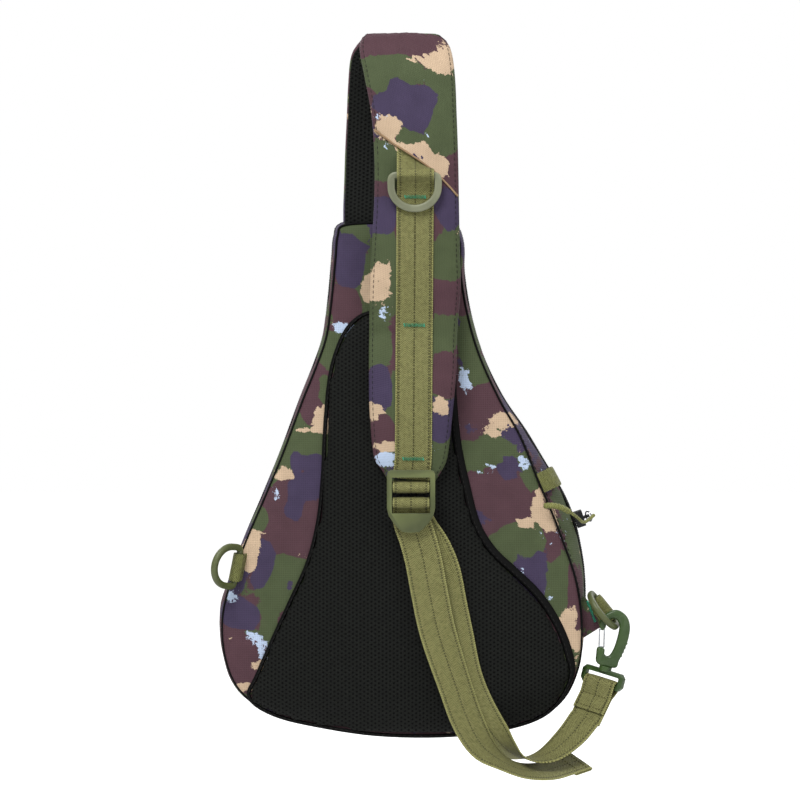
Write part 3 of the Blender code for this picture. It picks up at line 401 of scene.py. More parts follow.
# The print's patches on the side that faces the wearer: ink, x, z, half width, half height
PATCHES = [
    # strap, from its fold down
    (MAROON, -8, 0, 26, 10), (GREEN, -10, -22, 17, 12), (TAN, 25, -12, 10, 11),
    (TAN, 5, -13, 12, 3), (NAVY, 3, -42, 21, 11), (NAVY, 9, -54, 9, 8), (NAVY, -6, -29, 6, 8),
    (TAN, -10, -60, 9, 9), (TAN, 4, -73, 11, 5), (TAN, 22, -85, 10, 7), (BLUE, -14, -53, 6, 5),
    (BLUE, 14, -64, 3, 3), (GREEN, 25, -58, 12, 18), (GREEN, 2, -66, 8, 5), (MAROON, 33, -88, 4, 8),
    (GREEN, -15, -82, 9, 12), (BLUE, -12, -72, 3, 3), (MAROON, -15, -99, 8, 8),
    (NAVY, -15, -118, 8, 14), (NAVY, 28, -116, 9, 12), (MAROON, 20, -128, 5, 10),
    (GREEN, -16, -140, 6, 10), (TAN, -16, -164, 7, 17), (GREEN, 27, -146, 10, 14),
    (MAROON, 28, -172, 9, 12), (BLUE, -15, -182, 4, 5), (GREEN, -18, -206, 7, 12),
    (NAVY, -17, -232, 6, 14), (GREEN, 27, -196, 8, 10), (MAROON, 27, -226, 8, 14),
    (TAN, -20, -250, 5, 7), (MAROON, -14, -262, 7, 9), (TAN, -13, -273, 8, 5),
    (BLUE, -12, -281, 7, 6), (TAN, 24, -246, 5, 8), (NAVY, 24, -262, 7, 9),
    # left of the pad
    (NAVY, -38, -146, 9, 20), (GREEN, -34, -128, 9, 8), (MAROON, -40, -176, 9, 12),
    (TAN, -26, -166, 5, 10), (BLUE, -40, -194, 8, 5), (GREEN, -48, -210, 9, 12),
    (MAROON, -63, -240, 6, 18), (GREEN, -56, -234, 7, 9), (TAN, -58, -253, 5, 9),
    (TAN, -65, -262, 9, 4), (GREEN, -66, -273, 12, 10), (NAVY, -74, -282, 4, 9),
    (NAVY, -62, -284, 7, 6), (TAN, -80, -294, 8, 5), (BLUE, -73, -292, 3, 3),
    (MAROON, -78, -326, 20, 26), (NAVY, -68, -303, 11, 8), (NAVY, -76, -316, 6, 8),
    (BLUE, -87, -308, 4, 6), (BLUE, -62, -309, 6, 5), (GREEN, -98, -323, 5, 8),
    (TAN, -99, -332, 6, 5), (TAN, -103, -344, 7, 9), (TAN, -107, -355, 5, 5),
    (NAVY, -94, -350, 6, 12), (NAVY, -98, -366, 6, 6), (TAN, -72, -350, 8, 4),
    (GREEN, -82, -366, 14, 16), (NAVY, -76, -370, 4, 7), (BLUE, -118, -376, 4, 5),
    (NAVY, -112, -388, 14, 9), (GREEN, -91, -390, 7, 13), (TAN, -118, -405, 3, 3),
    (BLUE, -105, -404, 6, 5), (BLUE, -98, -412, 6, 7), (TAN, -101, -422, 7, 4),
    (MAROON, -112, -418, 12, 14), (TAN, -109, -437, 7, 3),
    # right of the pad
    (MAROON, 40, -172, 6, 12), (GREEN, 44, -200, 7, 16), (BLUE, 41, -228, 4, 9),
    (GREEN, 50, -222, 6, 8), (MAROON, 56, -240, 7, 10), (TAN, 66, -256, 9, 5),
    (TAN, 58, -264, 5, 4), (GREEN, 60, -276, 12, 7), (BLUE, 56, -289, 4, 6),
    (NAVY, 70, -289, 5, 9), (BLUE, 80, -284, 5, 4), (GREEN, 86, -297, 4, 8),
    (MAROON, 66, -308, 17, 16), (TAN, 90, -311, 6, 9), (TAN, 81, -325, 8, 4),
    (TAN, 98, -324, 6, 8), (GREEN, 76, -341, 15, 12), (NAVY, 56, -328, 5, 10),
    (NAVY, 78, -349, 5, 8), (NAVY, 92, -350, 8, 8), (MAROON, 101, -350, 6, 6),
    (NAVY, 86, -368, 10, 10), (GREEN, 105, -368, 8, 20), (BLUE, 96, -372, 5, 8),
    (BLUE, 78, -359, 4, 4), (TAN, 111, -389, 6, 12), (TAN, 116, -406, 6, 6),
    (MAROON, 113, -368, 4, 14)]
# How much a patch favours its own ink and holds the others back, the squared radii between which
# it fades, and the furthest it reaches
PATCH_STRENGTH = 0.46
PATCH_SUPPRESS = 0.3
PATCH_INNER = 0.45
PATCH_OUTER = 1.75
PATCH_REACH = 40
RARE_INK = -0.075

# The print turns from PATCHES to FRONT_PATCHES between these depths
BACK_FADE = (24.0, 36.0)


def front_patches():
    """Patches for the sides and front, laid out on a jittered grid over the unrolled cloth."""
    chance = random.Random(11)
    made = []
    for row in range(15):
        for column in range(17):
            ink = chance.choice((TAN, TAN, BLUE, NAVY, NAVY, GREEN, GREEN, MAROON))
            small = 0.6 if ink in (TAN, BLUE) else 1.0
            made.append((ink, -208 + column * 26 + chance.uniform(-12, 12),
                         -128 - row * 25 + chance.uniform(-11, 11),
                         small * chance.uniform(6, 15), small * chance.uniform(6, 13)))
    return made


FRONT_PATCHES = front_patches()


def add_patches(bias, patches, u, v, share):
    for ink, cu, cv, ru, rv in patches:
        if abs(u - cu) > PATCH_REACH or abs(v - cv) > PATCH_REACH:
            continue
        reach = ((u - cu) / ru) ** 2 + ((v - cv) / rv) ** 2
        if reach > PATCH_OUTER:
            continue
        weight = share * min(1.0, (PATCH_OUTER - reach) / (PATCH_OUTER - PATCH_INNER))
        for other in range(4):
            if other == ink:
                bias[other] += PATCH_STRENGTH * weight
            elif other > ink or ink == MAROON:
                bias[other] -= PATCH_SUPPRESS * weight


def paint(piece):
    """Stores how far each ink is favoured at each vertex; the material adds its own noise."""
    mesh = piece.data
    layer = mesh.color_attributes.new("print", "FLOAT_COLOR", "POINT")
    values = []
    for vertex in mesh.vertices:
        x, y, z = vertex.co / MM
        bias = [0.0, 0.0, RARE_INK, RARE_INK]
        front = clamp((y - BACK_FADE[0]) / (BACK_FADE[1] - BACK_FADE[0]))
        if front < 1:
            add_patches(bias, PATCHES, x, z, 1 - front)
        if front > 0:
            unrolled = x + math.copysign(max(FRONT_DEPTH - y, 0.0), x)
            add_patches(bias, FRONT_PATCHES, unrolled, z, front)
        values += bias
    layer.data.foreach_set("color", values)


# ---------------------------------------------------------------- mesh building
def smooth_points(points, per_span, closed=False):
    """Points on a Catmull-Rom curve through the given points."""
    pts = [Vector(p) for p in points]
    count = len(pts)
    out = []
    for i in range(count if closed else count - 1):
        if closed:
            p0, p1, p2, p3 = (pts[(i + k) % count] for k in (-1, 0, 1, 2))
        else:
            p0, p1, p2, p3 = (pts[min(max(i + k, 0), count - 1)] for k in (-1, 0, 1, 2))
        for step in range(per_span):
            t = step / per_span
            out.append(0.5 * (2 * p1 + (p2 - p0) * t + (2 * p0 - 5 * p1 + 4 * p2 - p3) * t ** 2
                              + (3 * p1 - p0 - 3 * p2 + p3) * t ** 3))
    if not closed:
        out.append(pts[-1])
    return out


def normals_2d(points):
    """Outward unit normals of a closed clockwise outline."""
    count = len(points)
    out = []
    for i in range(count):
        along = points[(i + 1) % count] - points[i - 1]
        out.append(Vector((-along[1], along[0])).normalized())
    return out


def tangents(spots, closed=False):
    count = len(spots)
    if closed:
        return [(spots[(k + 1) % count] - spots[k - 1]).normalized() for k in range(count)]
    return [(spots[min(k + 1, count - 1)] - spots[max(k - 1, 0)]).normalized()
            for k in range(count)]


def spaced(spots, pitch):
    """Points at an even pitch along a polyline, each with the polyline's direction there."""
    out = []
    left = pitch / 2
    for a, b in zip(spots, spots[1:]):
        length = (b - a).length
        run = (b - a).normalized() if length else X
        while left <= length:
            out.append((a + run * left, run))
            left += pitch
        left -= length
    return out


def around(centre, side, other, count, first=0.0):
    """Points of an ellipse with the two given half axes; first is a share of one step."""
    turns = (math.tau * (j + first) / count for j in range(count))
    return [centre + side * math.cos(turn) + other * math.sin(turn) for turn in turns]


# A stitch's rings: place along its length, rise out of the cloth, share of the thread's radius
STITCH_SHAPE = ((-0.5, -0.25, 0.5), (-0.2, 0.15, 1.0), (0.2, 0.15, 1.0), (0.5, -0.25, 0.5))

# A zip tooth's rings: place along the tooth and share of its width
TOOTH_SHAPE = ((-1, 0.55), (-0.6, 1), (0.6, 1), (1, 0.55))
TOOTH_PITCH = 1.7
TOOTH_LAG = 0.85


class Piece:
    """Vertices, faces, material slots and weave coordinates of one object."""

    def __init__(self):
        self.points = []
        self.faces = []
        self.slots = []
        self.uvs = []

    def loft(self, sections, slot=0, run_closed=False, across=None):
        """Skins a run of closed rings; across gives each ring point's weave coordinate."""
        size = len(sections[0])
        base = len(self.points)
        count = len(sections)
        along = [0.0]
        for a, b in zip(sections, sections[1:] + sections[:1]):
            along.append(along[-1] + (Vector(b[0]) - Vector(a[0])).length)
        if across is None:
            middle = sections[count // 2]
            across = [0.0]
            for k in range(size):
                across.append(across[-1] + (Vector(middle[(k + 1) % size])
                                            - Vector(middle[k])).length)
        elif len(across) == size:
            across = list(across) + [across[0]]
        for section in sections:
            self.points += [Vector(p) for p in section]
        for i in range(count if run_closed else count - 1):
            a = base + i * size
            b = base + ((i + 1) % count) * size
            for k in range(size):
                n = (k + 1) % size
                self.faces.append((a + k, a + n, b + n, b + k))
                self.slots.append(slot)
                self.uvs.append(((across[k], along[i]), (across[k + 1], along[i]),
                                 (across[k + 1], along[i + 1]), (across[k], along[i + 1])))
        if not run_closed:
            for ring, i in ((range(size - 1, -1, -1), 0), (range(size), count - 1)):
                self.faces.append(tuple(base + i * size + k for k in ring))
                self.slots.append(slot)
                self.uvs.append(tuple((across[k], along[i]) for k in ring))

    def tube(self, spots, radius, sides=8, slot=0, closed=False, up=Z, flat=1.0):
        """A round or flattened rod along a path; radius may be a function of the step."""
        spots = [Vector(p) for p in spots]
        sections = []
        for k, (spot, run) in enumerate(zip(spots, tangents(spots, closed))):
            reach = radius(k) if callable(radius) else radius
            side = run.cross(up)
            side = side.normalized() if side.length > 1e-4 else run.orthogonal().normalized()
            other = side.cross(run).normalized()
            sections.append(around(spot, side * reach, other * reach * flat, sides))
        self.loft(sections, slot, run_closed=closed)

    def stitches(self, spots, outward, pitch=3.2, length=2.3, radius=0.28, slot=1):
        """A row of thread stitches along a polyline; outward is a vector or a function of place."""
        for spot, run in spaced([Vector(p) for p in spots], pitch):
            out = (outward(spot) if callable(outward) else Vector(outward)).normalized()
            side = run.cross(out).normalized()
            sections = []
            for reach, rise, wide in STITCH_SHAPE:
                centre = spot + run * length * reach + out * rise
                sections.append(around(centre, side * radius * wide, out * radius * wide, 5))
            self.loft(sections, slot)

    def teeth(self, line, lag, across, half_length, half_width, half_height):
        """A row of coil teeth; across gives a tooth's own direction from the run."""
        for spot, run in spaced(line, TOOTH_PITCH):
            spot = spot + run * lag
            tooth = across(run)
            rise = run.cross(tooth).normalized()
            self.loft([around(spot + tooth * half_length * reach, run * half_width * size,
                              rise * half_height * size, 6, 0.5)
                       for reach, size in TOOTH_SHAPE], slot=1)

    def finish(self, name, body, materials, replaces=(), slot=None, angle=50, box=False,
               ink=False):
        """Makes the object; box takes its weave from the axes, ink adds the printed patches."""
        mesh = bpy.data.meshes.new(name)
        mesh.from_pydata([p * MM for p in self.points], [], self.faces)
        layer = mesh.uv_layers.new(name="weave")
        for polygon, uvs in zip(mesh.polygons, self.uvs):
            polygon.material_index = self.slots[polygon.index]
            for loop, uv in zip(polygon.loop_indices, uvs):
                layer.data[loop].uv = (uv[0] * MM, uv[1] * MM)
        for look in materials:
            mesh.materials.append(look)
        shape = bmesh.new()
        shape.from_mesh(mesh)
        bmesh.ops.recalc_face_normals(shape, faces=shape.faces)
        shape.to_mesh(mesh)
        shape.free()
        made = bpy.data.objects.new(name, mesh)
        bpy.context.scene.collection.objects.link(made)
        if box:
            box_weave(mesh)
        mesh.shade_smooth()
        mesh.set_sharp_from_angle(angle=math.radians(angle))
        if ink:
            paint(made)
        settle(made, body, replaces)
        return made


def settle(made, body, replaces):
    """Tells the frame what the piece rides on and what it stands for."""
    if body:
        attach(made, body)
    if replaces:
        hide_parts(*replaces)


def apply_modifiers(made):
    depsgraph = bpy.context.evaluated_depsgraph_get()
    mesh = bpy.data.meshes.new_from_object(made.evaluated_get(depsgraph))
    made.modifiers.clear()
    made.data = mesh


def box_weave(mesh):
    """Weave coordinates taken from the axis that each face looks along most."""
    layer = mesh.uv_layers["weave"] if "weave" in mesh.uv_layers else mesh.uv_layers.new(name="weave")
    for polygon in mesh.polygons:
        axis = max(range(3), key=lambda a: abs(polygon.normal[a]))
        first, second = ((1, 2), (0, 2), (0, 1))[axis]
        for loop in polygon.loop_indices:
            place = mesh.vertices[mesh.loops[loop].vertex_index].co
            layer.data[loop].uv = (place[first], place[second])


def moulded(name, node, body, look, bevel, segments=2, shape=None):
    """A CAD part's mesh with rounded edges, as its own piece."""
    source = frame["nodes"][node]
    mesh = source.data.copy()
    made = bpy.data.objects.new(name, mesh)
    made.matrix_world = source.matrix_world
    bpy.context.scene.collection.objects.link(made)
    bpy.context.view_layer.update()
    mesh.transform(source.matrix_world)
    made.matrix_world = Matrix()
    work = bmesh.new()
    work.from_mesh(mesh)
    bmesh.ops.remove_doubles(work, verts=work.verts, dist=0.00001)
    bmesh.ops.dissolve_limit(work, angle_limit=math.radians(2), verts=work.verts,
                             edges=work.edges)
    work.to_mesh(mesh)
    work.free()
    step = made.modifiers.new("edge", "BEVEL")
    step.width = bevel * MM
    step.segments = segments
    step.limit_method = "ANGLE"
    step.angle_limit = math.radians(35)
    apply_modifiers(made)
    if shape:
        for vertex in made.data.vertices:
            vertex.co = shape(vertex.co / MM) * MM
    made.data.materials.clear()
    made.data.materials.append(look)
    made.data.shade_smooth()
    made.data.set_sharp_from_angle(angle=math.radians(45))
    settle(made, body, (node,))
    return made


def inflate(made, voxel, pressure, cap, held):
    """Evens the mesh out, then swells it with a short cloth run; held points stay put.
    """
    step = made.modifiers.new("even", "REMESH")
    step.mode = "VOXEL"
    step.voxel_size = voxel * MM
    apply_modifiers(made)
    start = [v.co.copy() for v in made.data.vertices]
    group = made.vertex_groups.new(name="held")
    group.add([v.index for v in made.data.vertices if held(v.co / MM)], 1.0, "REPLACE")
    cloth = made.modifiers.new("cloth", "CLOTH")
    cloth.settings.vertex_group_mass = "held"
    cloth.settings.use_pressure = True
    cloth.settings.uniform_pressure_force = pressure
    cloth.settings.effector_weights.gravity = 0
    cloth.point_cache.frame_end = SWELL_FRAMES
    for number in range(1, SWELL_FRAMES + 1):
        bpy.context.scene.frame_set(number)
    apply_modifiers(made)
    made.vertex_groups.clear()
    bpy.context.scene.frame_set(1)
    for vertex, place in zip(made.data.vertices, start):
        shift = vertex.co - place
        if shift.length > cap * MM:
            vertex.co = place + shift.normalized() * cap * MM
    smooth = made.modifiers.new("smooth", "SMOOTH")
    smooth.factor = 0.5
    smooth.iterations = 4
    step = made.modifiers.new("round", "SUBSURF")
    step.levels = 1
    step.render_levels = 1
    apply_modifiers(made)
    box_weave(made.data)
    made.data.shade_smooth()


def crease(place, size, seed):
    """Smooth noise from -1 to 1 at a feature size in millimetres."""
    return noise.noise(Vector(place) / size + Vector((seed, seed * 1.7, seed * 0.6)))


# ---------------------------------------------------------------- driving shapes of the bag
# As in the part's source: depths run along +Y from the wearer's side, outlines are x, z
DEPTH_TOP = 44.0
DEPTH_SLOPE = 0.185
BODY_TOP_Z = -125.0
ZIP_SHARE = 0.4
BULGE_ALL = 3.0
BULGE_RIGHT = 12.0
BULGE_Z = -322.0
BULGE_REACH = 50.0
FRONT_INSET = 16.0
ROUND_FROM = 0.72
FRONT_EDGE = 0.985

BODY_OUTLINE = [
    (-40, -123), (-5, -121.5), (28, -122.5), (36.4, -132), (37.5, -155), (42, -183),
    (50, -211), (63.5, -241), (78, -267), (89, -295), (99, -319), (108, -342), (115, -362),
    (119, -382), (120, -405), (117.5, -425), (108, -445), (90, -459), (62, -467),
    (24, -470.3), (-20, -469), (-60, -463.5), (-90, -456), (-112, -440), (-122, -418),
    (-124, -391), (-118, -365), (-107, -336), (-95, -308), (-83, -279), (-70, -244),
    (-60, -219), (-53, -198), (-49.5, -172), (-47, -145), (-45.5, -130)]

PAD_OUTLINE = [
    (-22, -181), (10, -178), (28, -186), (34, -215), (35.5, -245), (38.5, -273), (44, -299),
    (51, -325), (62, -343), (78, -358), (93, -373), (105, -391), (113, -410), (115.5, -428),
    (106, -444), (88, -457), (60, -464.5), (24, -468), (-20, -467), (-60, -461),
    (-88, -454), (-106, -443), (-101, -427), (-91, -404), (-79, -378), (-67, -351),
    (-60, -322), (-57, -290), (-55.5, -258), (-52, -224), (-44.5, -200), (-35, -187)]

OUTLINE_FINE = 6
PAD_FINE = 5
BODY = smooth_points(BODY_OUTLINE, OUTLINE_FINE, True)
BODY_NORMALS = normals_2d(BODY)
SPINE_TOP, SPINE_LOW = -150.0, -425.0
SPINE_X, SPINE_LEAN = -5.0, 0.02


def depth(z):
    """The bag's depth at a height."""
    return DEPTH_TOP + DEPTH_SLOPE * (BODY_TOP_Z - z)


def body_point(i, share, offset):
    """A point at outline step i, at a share of the depth, moved outwards by an offset."""
    x, z = BODY[i]
    swell = math.sin(math.pi * min(share * 1.1, 1.0))
    bulge = BULGE_ALL * swell
    if x > 0:
        bulge += BULGE_RIGHT * swell * math.exp(-((z - BULGE_Z) / BULGE_REACH) ** 2)
    spot = BODY[i] + BODY_NORMALS[i] * (bulge + offset)
    return Vector((spot[0], share * depth(spot[1]), spot[1]))


def front_inset(share):
    """How far the outline draws in towards the rounded front edge."""
    if share < ROUND_FROM:
        return 0.0
    t = (share - ROUND_FROM) / (1 - ROUND_FROM)
    return -FRONT_INSET * (1 - math.sqrt(max(0.0, 1 - t * t)))


def spine(spot):
    """The point of the bag's middle line, on the wearer's side, nearest to a point's height."""
    z = min(max(spot.z, SPINE_LOW), SPINE_TOP)
    x = SPINE_X + (z - SPINE_TOP) * SPINE_LEAN
    return Vector((x, 0, z))


def skin(path, thick):
    """Closed sections of a wall: the path's outer points, then the inner ones back.

    path(i) gives (point, outward direction) pairs for an outline step.
    """
    sections = []
    for i in range(len(BODY)):
        pairs = path(i)
        sections.append([p for p, _ in pairs] + [p - out * thick for p, out in pairs[::-1]])
    return sections


def radial(i):
    """Outward direction at an outline step, square to the depth."""
    return Vector((BODY_NORMALS[i][0], 0, BODY_NORMALS[i][1]))


ZIP_RECESS = 1.3


def zip_groove(share):
    """1 at the zip, falling to 0 a few millimetres away."""
    away = abs(share - ZIP_SHARE) / 0.09
    return max(0.0, 1 - away) ** 0.5


def rear_path(i):
    """From the middle of the back, over the sewn edge, to the zip."""
    out = radial(i)
    edge = body_point(i, 0, 0)
    pairs = []
    inner = edge - out * 3.2
    middle = spine(inner)
    for t in (1.0, 0.8, 0.62, 0.47, 0.35, 0.26, 0.19, 0.13, 0.08, 0.04, 0.0):
        spot = inner.lerp(middle, t)
        reach = (spot - edge).length
        puff = 1.1 * math.sin(math.pi * min(reach / 26.0, 1.0))
        spot.y = -puff + 0.5 * crease(spot, 21, 2) * min(1, reach / 8)
        pairs.append((spot, -Y))
    pairs.append((edge - out * 1.3 + Y * 0.25, (out - Y * 2).normalized()))
    pairs.append((edge - out * 0.35 + Y * 1.1, (out - Y).normalized()))
    pairs.append((edge - out * 0.05 + Y * 2.4, out))
    pucker = 0.35 * math.sin(i * 1.9) * crease(edge, 30, 5)
    for share in (0.07, 0.1, 0.14, 0.18, 0.22, 0.26, 0.3, 0.33, 0.355, 0.375):
        spot = body_point(i, share, 0)
        calm = min(1.0, (ZIP_SHARE - share) / 0.1)
        swell = 0.9 * math.sin(math.pi * min(share / 0.36, 1)) - ZIP_RECESS * zip_groove(share)
        folds = 1.3 * crease(spot, 34, 1) + 0.5 * crease(spot, 13, 6)
        spot += out * (swell + folds * calm + pucker * (0.2 - share) * 4)
        pairs.append((spot, out))
    spot = body_point(i, ZIP_SHARE, -ZIP_RECESS)
    pairs.append((spot - Y * 0.4, out))
    return pairs


def front_path(i):
    """From the zip, round the front edge, to the middle of the front."""
    out = radial(i)
    spot = body_point(i, ZIP_SHARE, -ZIP_RECESS)
    pairs = [(spot + Y * 0.4, out)]
    for share in (0.415, 0.435, 0.47, 0.52, 0.57, 0.62, 0.67, 0.72, 0.77, 0.82, 0.87, 0.91, 0.945, 0.97):
        spot = body_point(i, share, front_inset(share))
        calm = min(1.0, (share - ZIP_SHARE) / 0.08)
        lean = clamp((share - ROUND_FROM) / (1 - ROUND_FROM))
        facing = (out * math.sqrt(1 - lean * lean) + Y * lean).normalized()
        folds = 1.9 * crease(spot, 38, 3) + 0.6 * crease(spot, 14, 8)
        spot += facing * folds * calm - out * ZIP_RECESS * zip_groove(share)
        pairs.append((spot, facing))
    edge = body_point(i, 0.99, front_inset(FRONT_EDGE))
    pairs.append((edge - out * 1.0 + Y * 0.2, (out + Y * 3).normalized()))
    middle = spine(edge)
    middle.y = depth(middle.z)
    for t in (0.05, 0.1, 0.16, 0.24, 0.33, 0.44, 0.56, 0.7, 0.85, 1.0):
        spot = (edge - out * 1.5).lerp(middle, t)
        spot.y = depth(spot.z) * 0.998 + 0.9 * math.sin(math.pi * min(t * 2.5, 1) / 2) \
            + (0.9 * crease(spot, 34, 4) + 0.4 * crease(spot, 13, 9)) * min(1, t * 5)
        pairs.append((spot, Y))
    return pairs


def bag_shells():
    """The two printed halves of the bag, with their stitching and piped edges."""
    rear = Piece()
    rear.loft(skin(rear_path, 1.5), run_closed=True)
    edge = [body_point(i, 0.055, 0.1) for i in range(len(BODY))]
    centre = Vector((0, 0, -320))
    rear.stitches(edge + edge[:1], lambda p: Vector((p.x, 0, p.z)) - centre, pitch=4.0, length=2.8,
                  radius=0.25)
    rear.tube([body_point(i, 0.02, 0.15) for i in range(len(BODY))], 0.75, 8, 2, closed=True,
              up=Y)
    rear.finish("bag_back_shell", "bag", [CAMO, DARK_THREAD, BINDING],
                ("back_panel", "rear_gusset"), "camo_fabric", box=True, ink=True)
    front = Piece()
    front.loft(skin(front_path, 1.5), run_closed=True)
    row = []
    for i in range(len(BODY)):
        edge = body_point(i, 0.99, front_inset(FRONT_EDGE))
        spot = edge - radial(i) * 5.5
        spot.y = depth(spot.z) + 1.2
        row.append(spot)
    front.stitches(row + row[:1], Y, pitch=4.0, length=2.8, radius=0.28)
    welt = [body_point(i, FRONT_EDGE, front_inset(FRONT_EDGE) + 0.2) + Y * 0.3 for i in range(len(BODY))]
    front.tube(welt, 1.25, 8, 2, closed=True, up=Y)
    front.finish("bag_front_shell", "front_cover", [CAMO, DARK_THREAD, BINDING],
                 ("front_gusset", "front_panel"), "camo_fabric", box=True, ink=True)


def lining_path(shares, floor_share, floor_shift, facing, seed):
    """A path for skin(): down the wall at the given shares of the depth, then over the floor."""
    def path(i):
        out = radial(i)
        pairs = []
        for share in shares:
            spot = body_point(i, share, front_inset(min(share, FRONT_EDGE)) - 3.4)
            spot -= out * 0.7 * (1 + crease(spot, 22, seed))
            pairs.append((spot, out))
        pairs[0] = (pairs[0][0] - facing * 1.0, out)
        edge = body_point(i, floor_share, front_inset(min(floor_share, FRONT_EDGE)) - 5.5)
        middle = spine(edge)
        for t in (0.0, 0.1, 0.25, 0.45, 0.7, 1.0):
            spot = edge.lerp(middle, t)
            spot.y = floor_share * depth(spot.z) + floor_shift
            spot -= facing * 0.5 * (1 + crease(spot, 26, seed + 1))
            pairs.append((spot, facing))
        return pairs
    return path


def linings():
    """Slack lining cloth inside each half of the bag."""
    rear = Piece()
    rear.loft(skin(lining_path((0.38, .33, .27, .2, .13, .08), 0.0, 2.9, -Y, 7), 0.6),
              run_closed=True)
    rear.finish("rear_lining_cloth", "bag", [LINING], ("rear_lining",), "lining_fabric", box=True)
    front = Piece()
    front.loft(skin(lining_path((.42, .5, .6, .7, .8, .9, .955), .999, -2.6, Y, 9), 0.6),
               run_closed=True)
    front.finish("front_lining_cloth", "front_cover", [LINING], ("front_lining",),
                 "lining_fabric", box=True)


def inner_pocket():
    """Sleeve pocket: a slack face panel with a bound top and folded sides."""
    left, right, low, high = -78, 72, -440, -300
    piece = Piece()
    sections = []
    steps = 26
    for k in range(steps + 1):
        z = high + (low - high) * k / steps
        front = []
        back = []
        for j in range(27):
            t = j / 26
            x = left + (right - left) * t
            edge = min(t, 1 - t) * (right - left)
            bottom = z - low
            rise = 12.2 * min(1, (edge / 7) ** 0.6 if edge else 0) * min(1, max(bottom, .01) / 7) ** .5
            y = 3.7 + max(rise - 4, 0) + 0.6 * crease((x, 0, z), 24, 12)
            front.append(Vector((x, min(y, 12.4), z)))
            back.append(Vector((x, min(y, 12.4) - 0.8, z)))
        sections.append(front + back[::-1])
    piece.loft(sections)
    rim = [p + Y * -0.4 for p in sections[0][:27]]
    piece.tube(rim, 1.1, 8, slot=1, up=Z, flat=1.8)
    piece.stitches([p + Z * -1.4 + Y * 0.9 for p in rim], Y, slot=1, radius=0.22)
    piece.finish("inner_pocket_cloth", "bag", [LINING, BINDING], ("inner_pocket",),
                 "lining_fabric", box=True)


# ---------------------------------------------------------------- main zip
ZIP_FOOT_Z = -405


def outline_stretch(kept, spare=0):
    """Steps of an unbroken stretch of the outline in order, with spare ones at both ends."""
    count = len(BODY)
    start = next(i for i in kept if (i - 1) % count not in kept)
    return [(start + k) % count for k in range(-spare, len(kept) + spare)]


def zip_arch():
    """Outline steps that the main zip runs past: up one side, over the top and down the other."""
    return outline_stretch([i for i in range(len(BODY)) if BODY[i][1] > ZIP_FOOT_Z])


def zip_half(name, side, body, node, lag):
    """Half of the main zip: woven tape with its row of coil teeth."""
    piece = Piece()
    sections = []
    teeth_line = []
    for i in zip_arch():
        p = body_point(i, ZIP_SHARE, 0.25 - ZIP_RECESS)
        out = radial(i)
        wave = 0.12 * crease(p, 9, 14)
        a, b, c = p + Y * side * 0.4, p + Y * side * 3.6, p + Y * side * 7.2
        sections.append([a, b + out * wave, c, c + out * 0.5, b + out * (0.9 + wave),
                         a + out * 1.0])
        teeth_line.append(p + Y * side * 1.15 + out * 1.35)
    piece.loft(sections, across=[0, 3, 7, 7, 3, 0])
    piece.teeth(teeth_line, lag, lambda run: (Y - run * run.y).normalized(), 1.35, 0.62, 0.75)
    edge = [section[4] + Y * side * 1.6 for section in sections]
    centre = Vector((0, 0, -300))
    piece.stitches(edge, lambda p: Vector((p.x, 0, p.z)) - centre, pitch=3.4, length=2.4,
                   radius=0.22, slot=2)
    piece.finish(name, body, [TAPE, COIL, DARK_THREAD], (node,), "black_binding")


def lower_bellows():
    """Folded fabric inside the unzipped bottom."""
    arch = zip_arch()
    steps = outline_stretch([i for i in range(len(BODY)) if i not in arch], 3)
    sections = []
    for i in steps:
        middle = body_point(i, ZIP_SHARE, -2.5)
        out = radial(i)
        outer = []
        for k in range(15):
            across = (k - 7) * 1.9
            outer.append(middle + Y * across + out * 0.25 * math.cos(k * math.pi))
        sections.append(outer + [p - out * 0.5 for p in outer[::-1]])
    piece = Piece()
    piece.loft(sections)
    made = piece.finish("lower_bellows_cloth", None, [LINING], (), "camo_fabric", box=True)
    middle = body_point(steps[len(steps) // 2], ZIP_SHARE, 0)
    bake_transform(made)


# ---------------------------------------------------------------- back pad
PAD_LINE = smooth_points(PAD_OUTLINE, PAD_FINE, True)
PAD_NORMALS = normals_2d(PAD_LINE)


def ease(value, low, high):
    """Smooth step from 0 at low to 1 at high, whichever of the two is larger."""
    t = clamp((value - low) / (high - low))
    return t * t * (3 - 2 * t)


def pad_bound(p):
    """Width of the bound edge: a full band down the right side, a narrow one elsewhere."""
    return 2.4 + 3.0 * ease(p[0], 5, 25) * ease(p[1], -440, -415)


# The pad's foot reaches out to the bag's own lower edge
FOOT_REACH = 3.6
PAD = [p + n * FOOT_REACH * ease(p[1], -432, -455) for p, n in zip(PAD_LINE, PAD_NORMALS)]


def pad_ring(inside, y):
    """Outline of the cushion, inside millimetres in from the bound edge."""
    ring = []
    for p, n in zip(PAD, PAD_NORMALS):
        offset = inside - pad_bound(p) + 0.5
        ring.append(Vector((p[0] + n[0] * offset, y, p[1] + n[1] * offset)))
    return ring


def pad_middle(spot):
    z = min(max(spot.z, -430.0), -200.0)
    return Vector((-12 + (z + 200) * -0.07, 0, z))


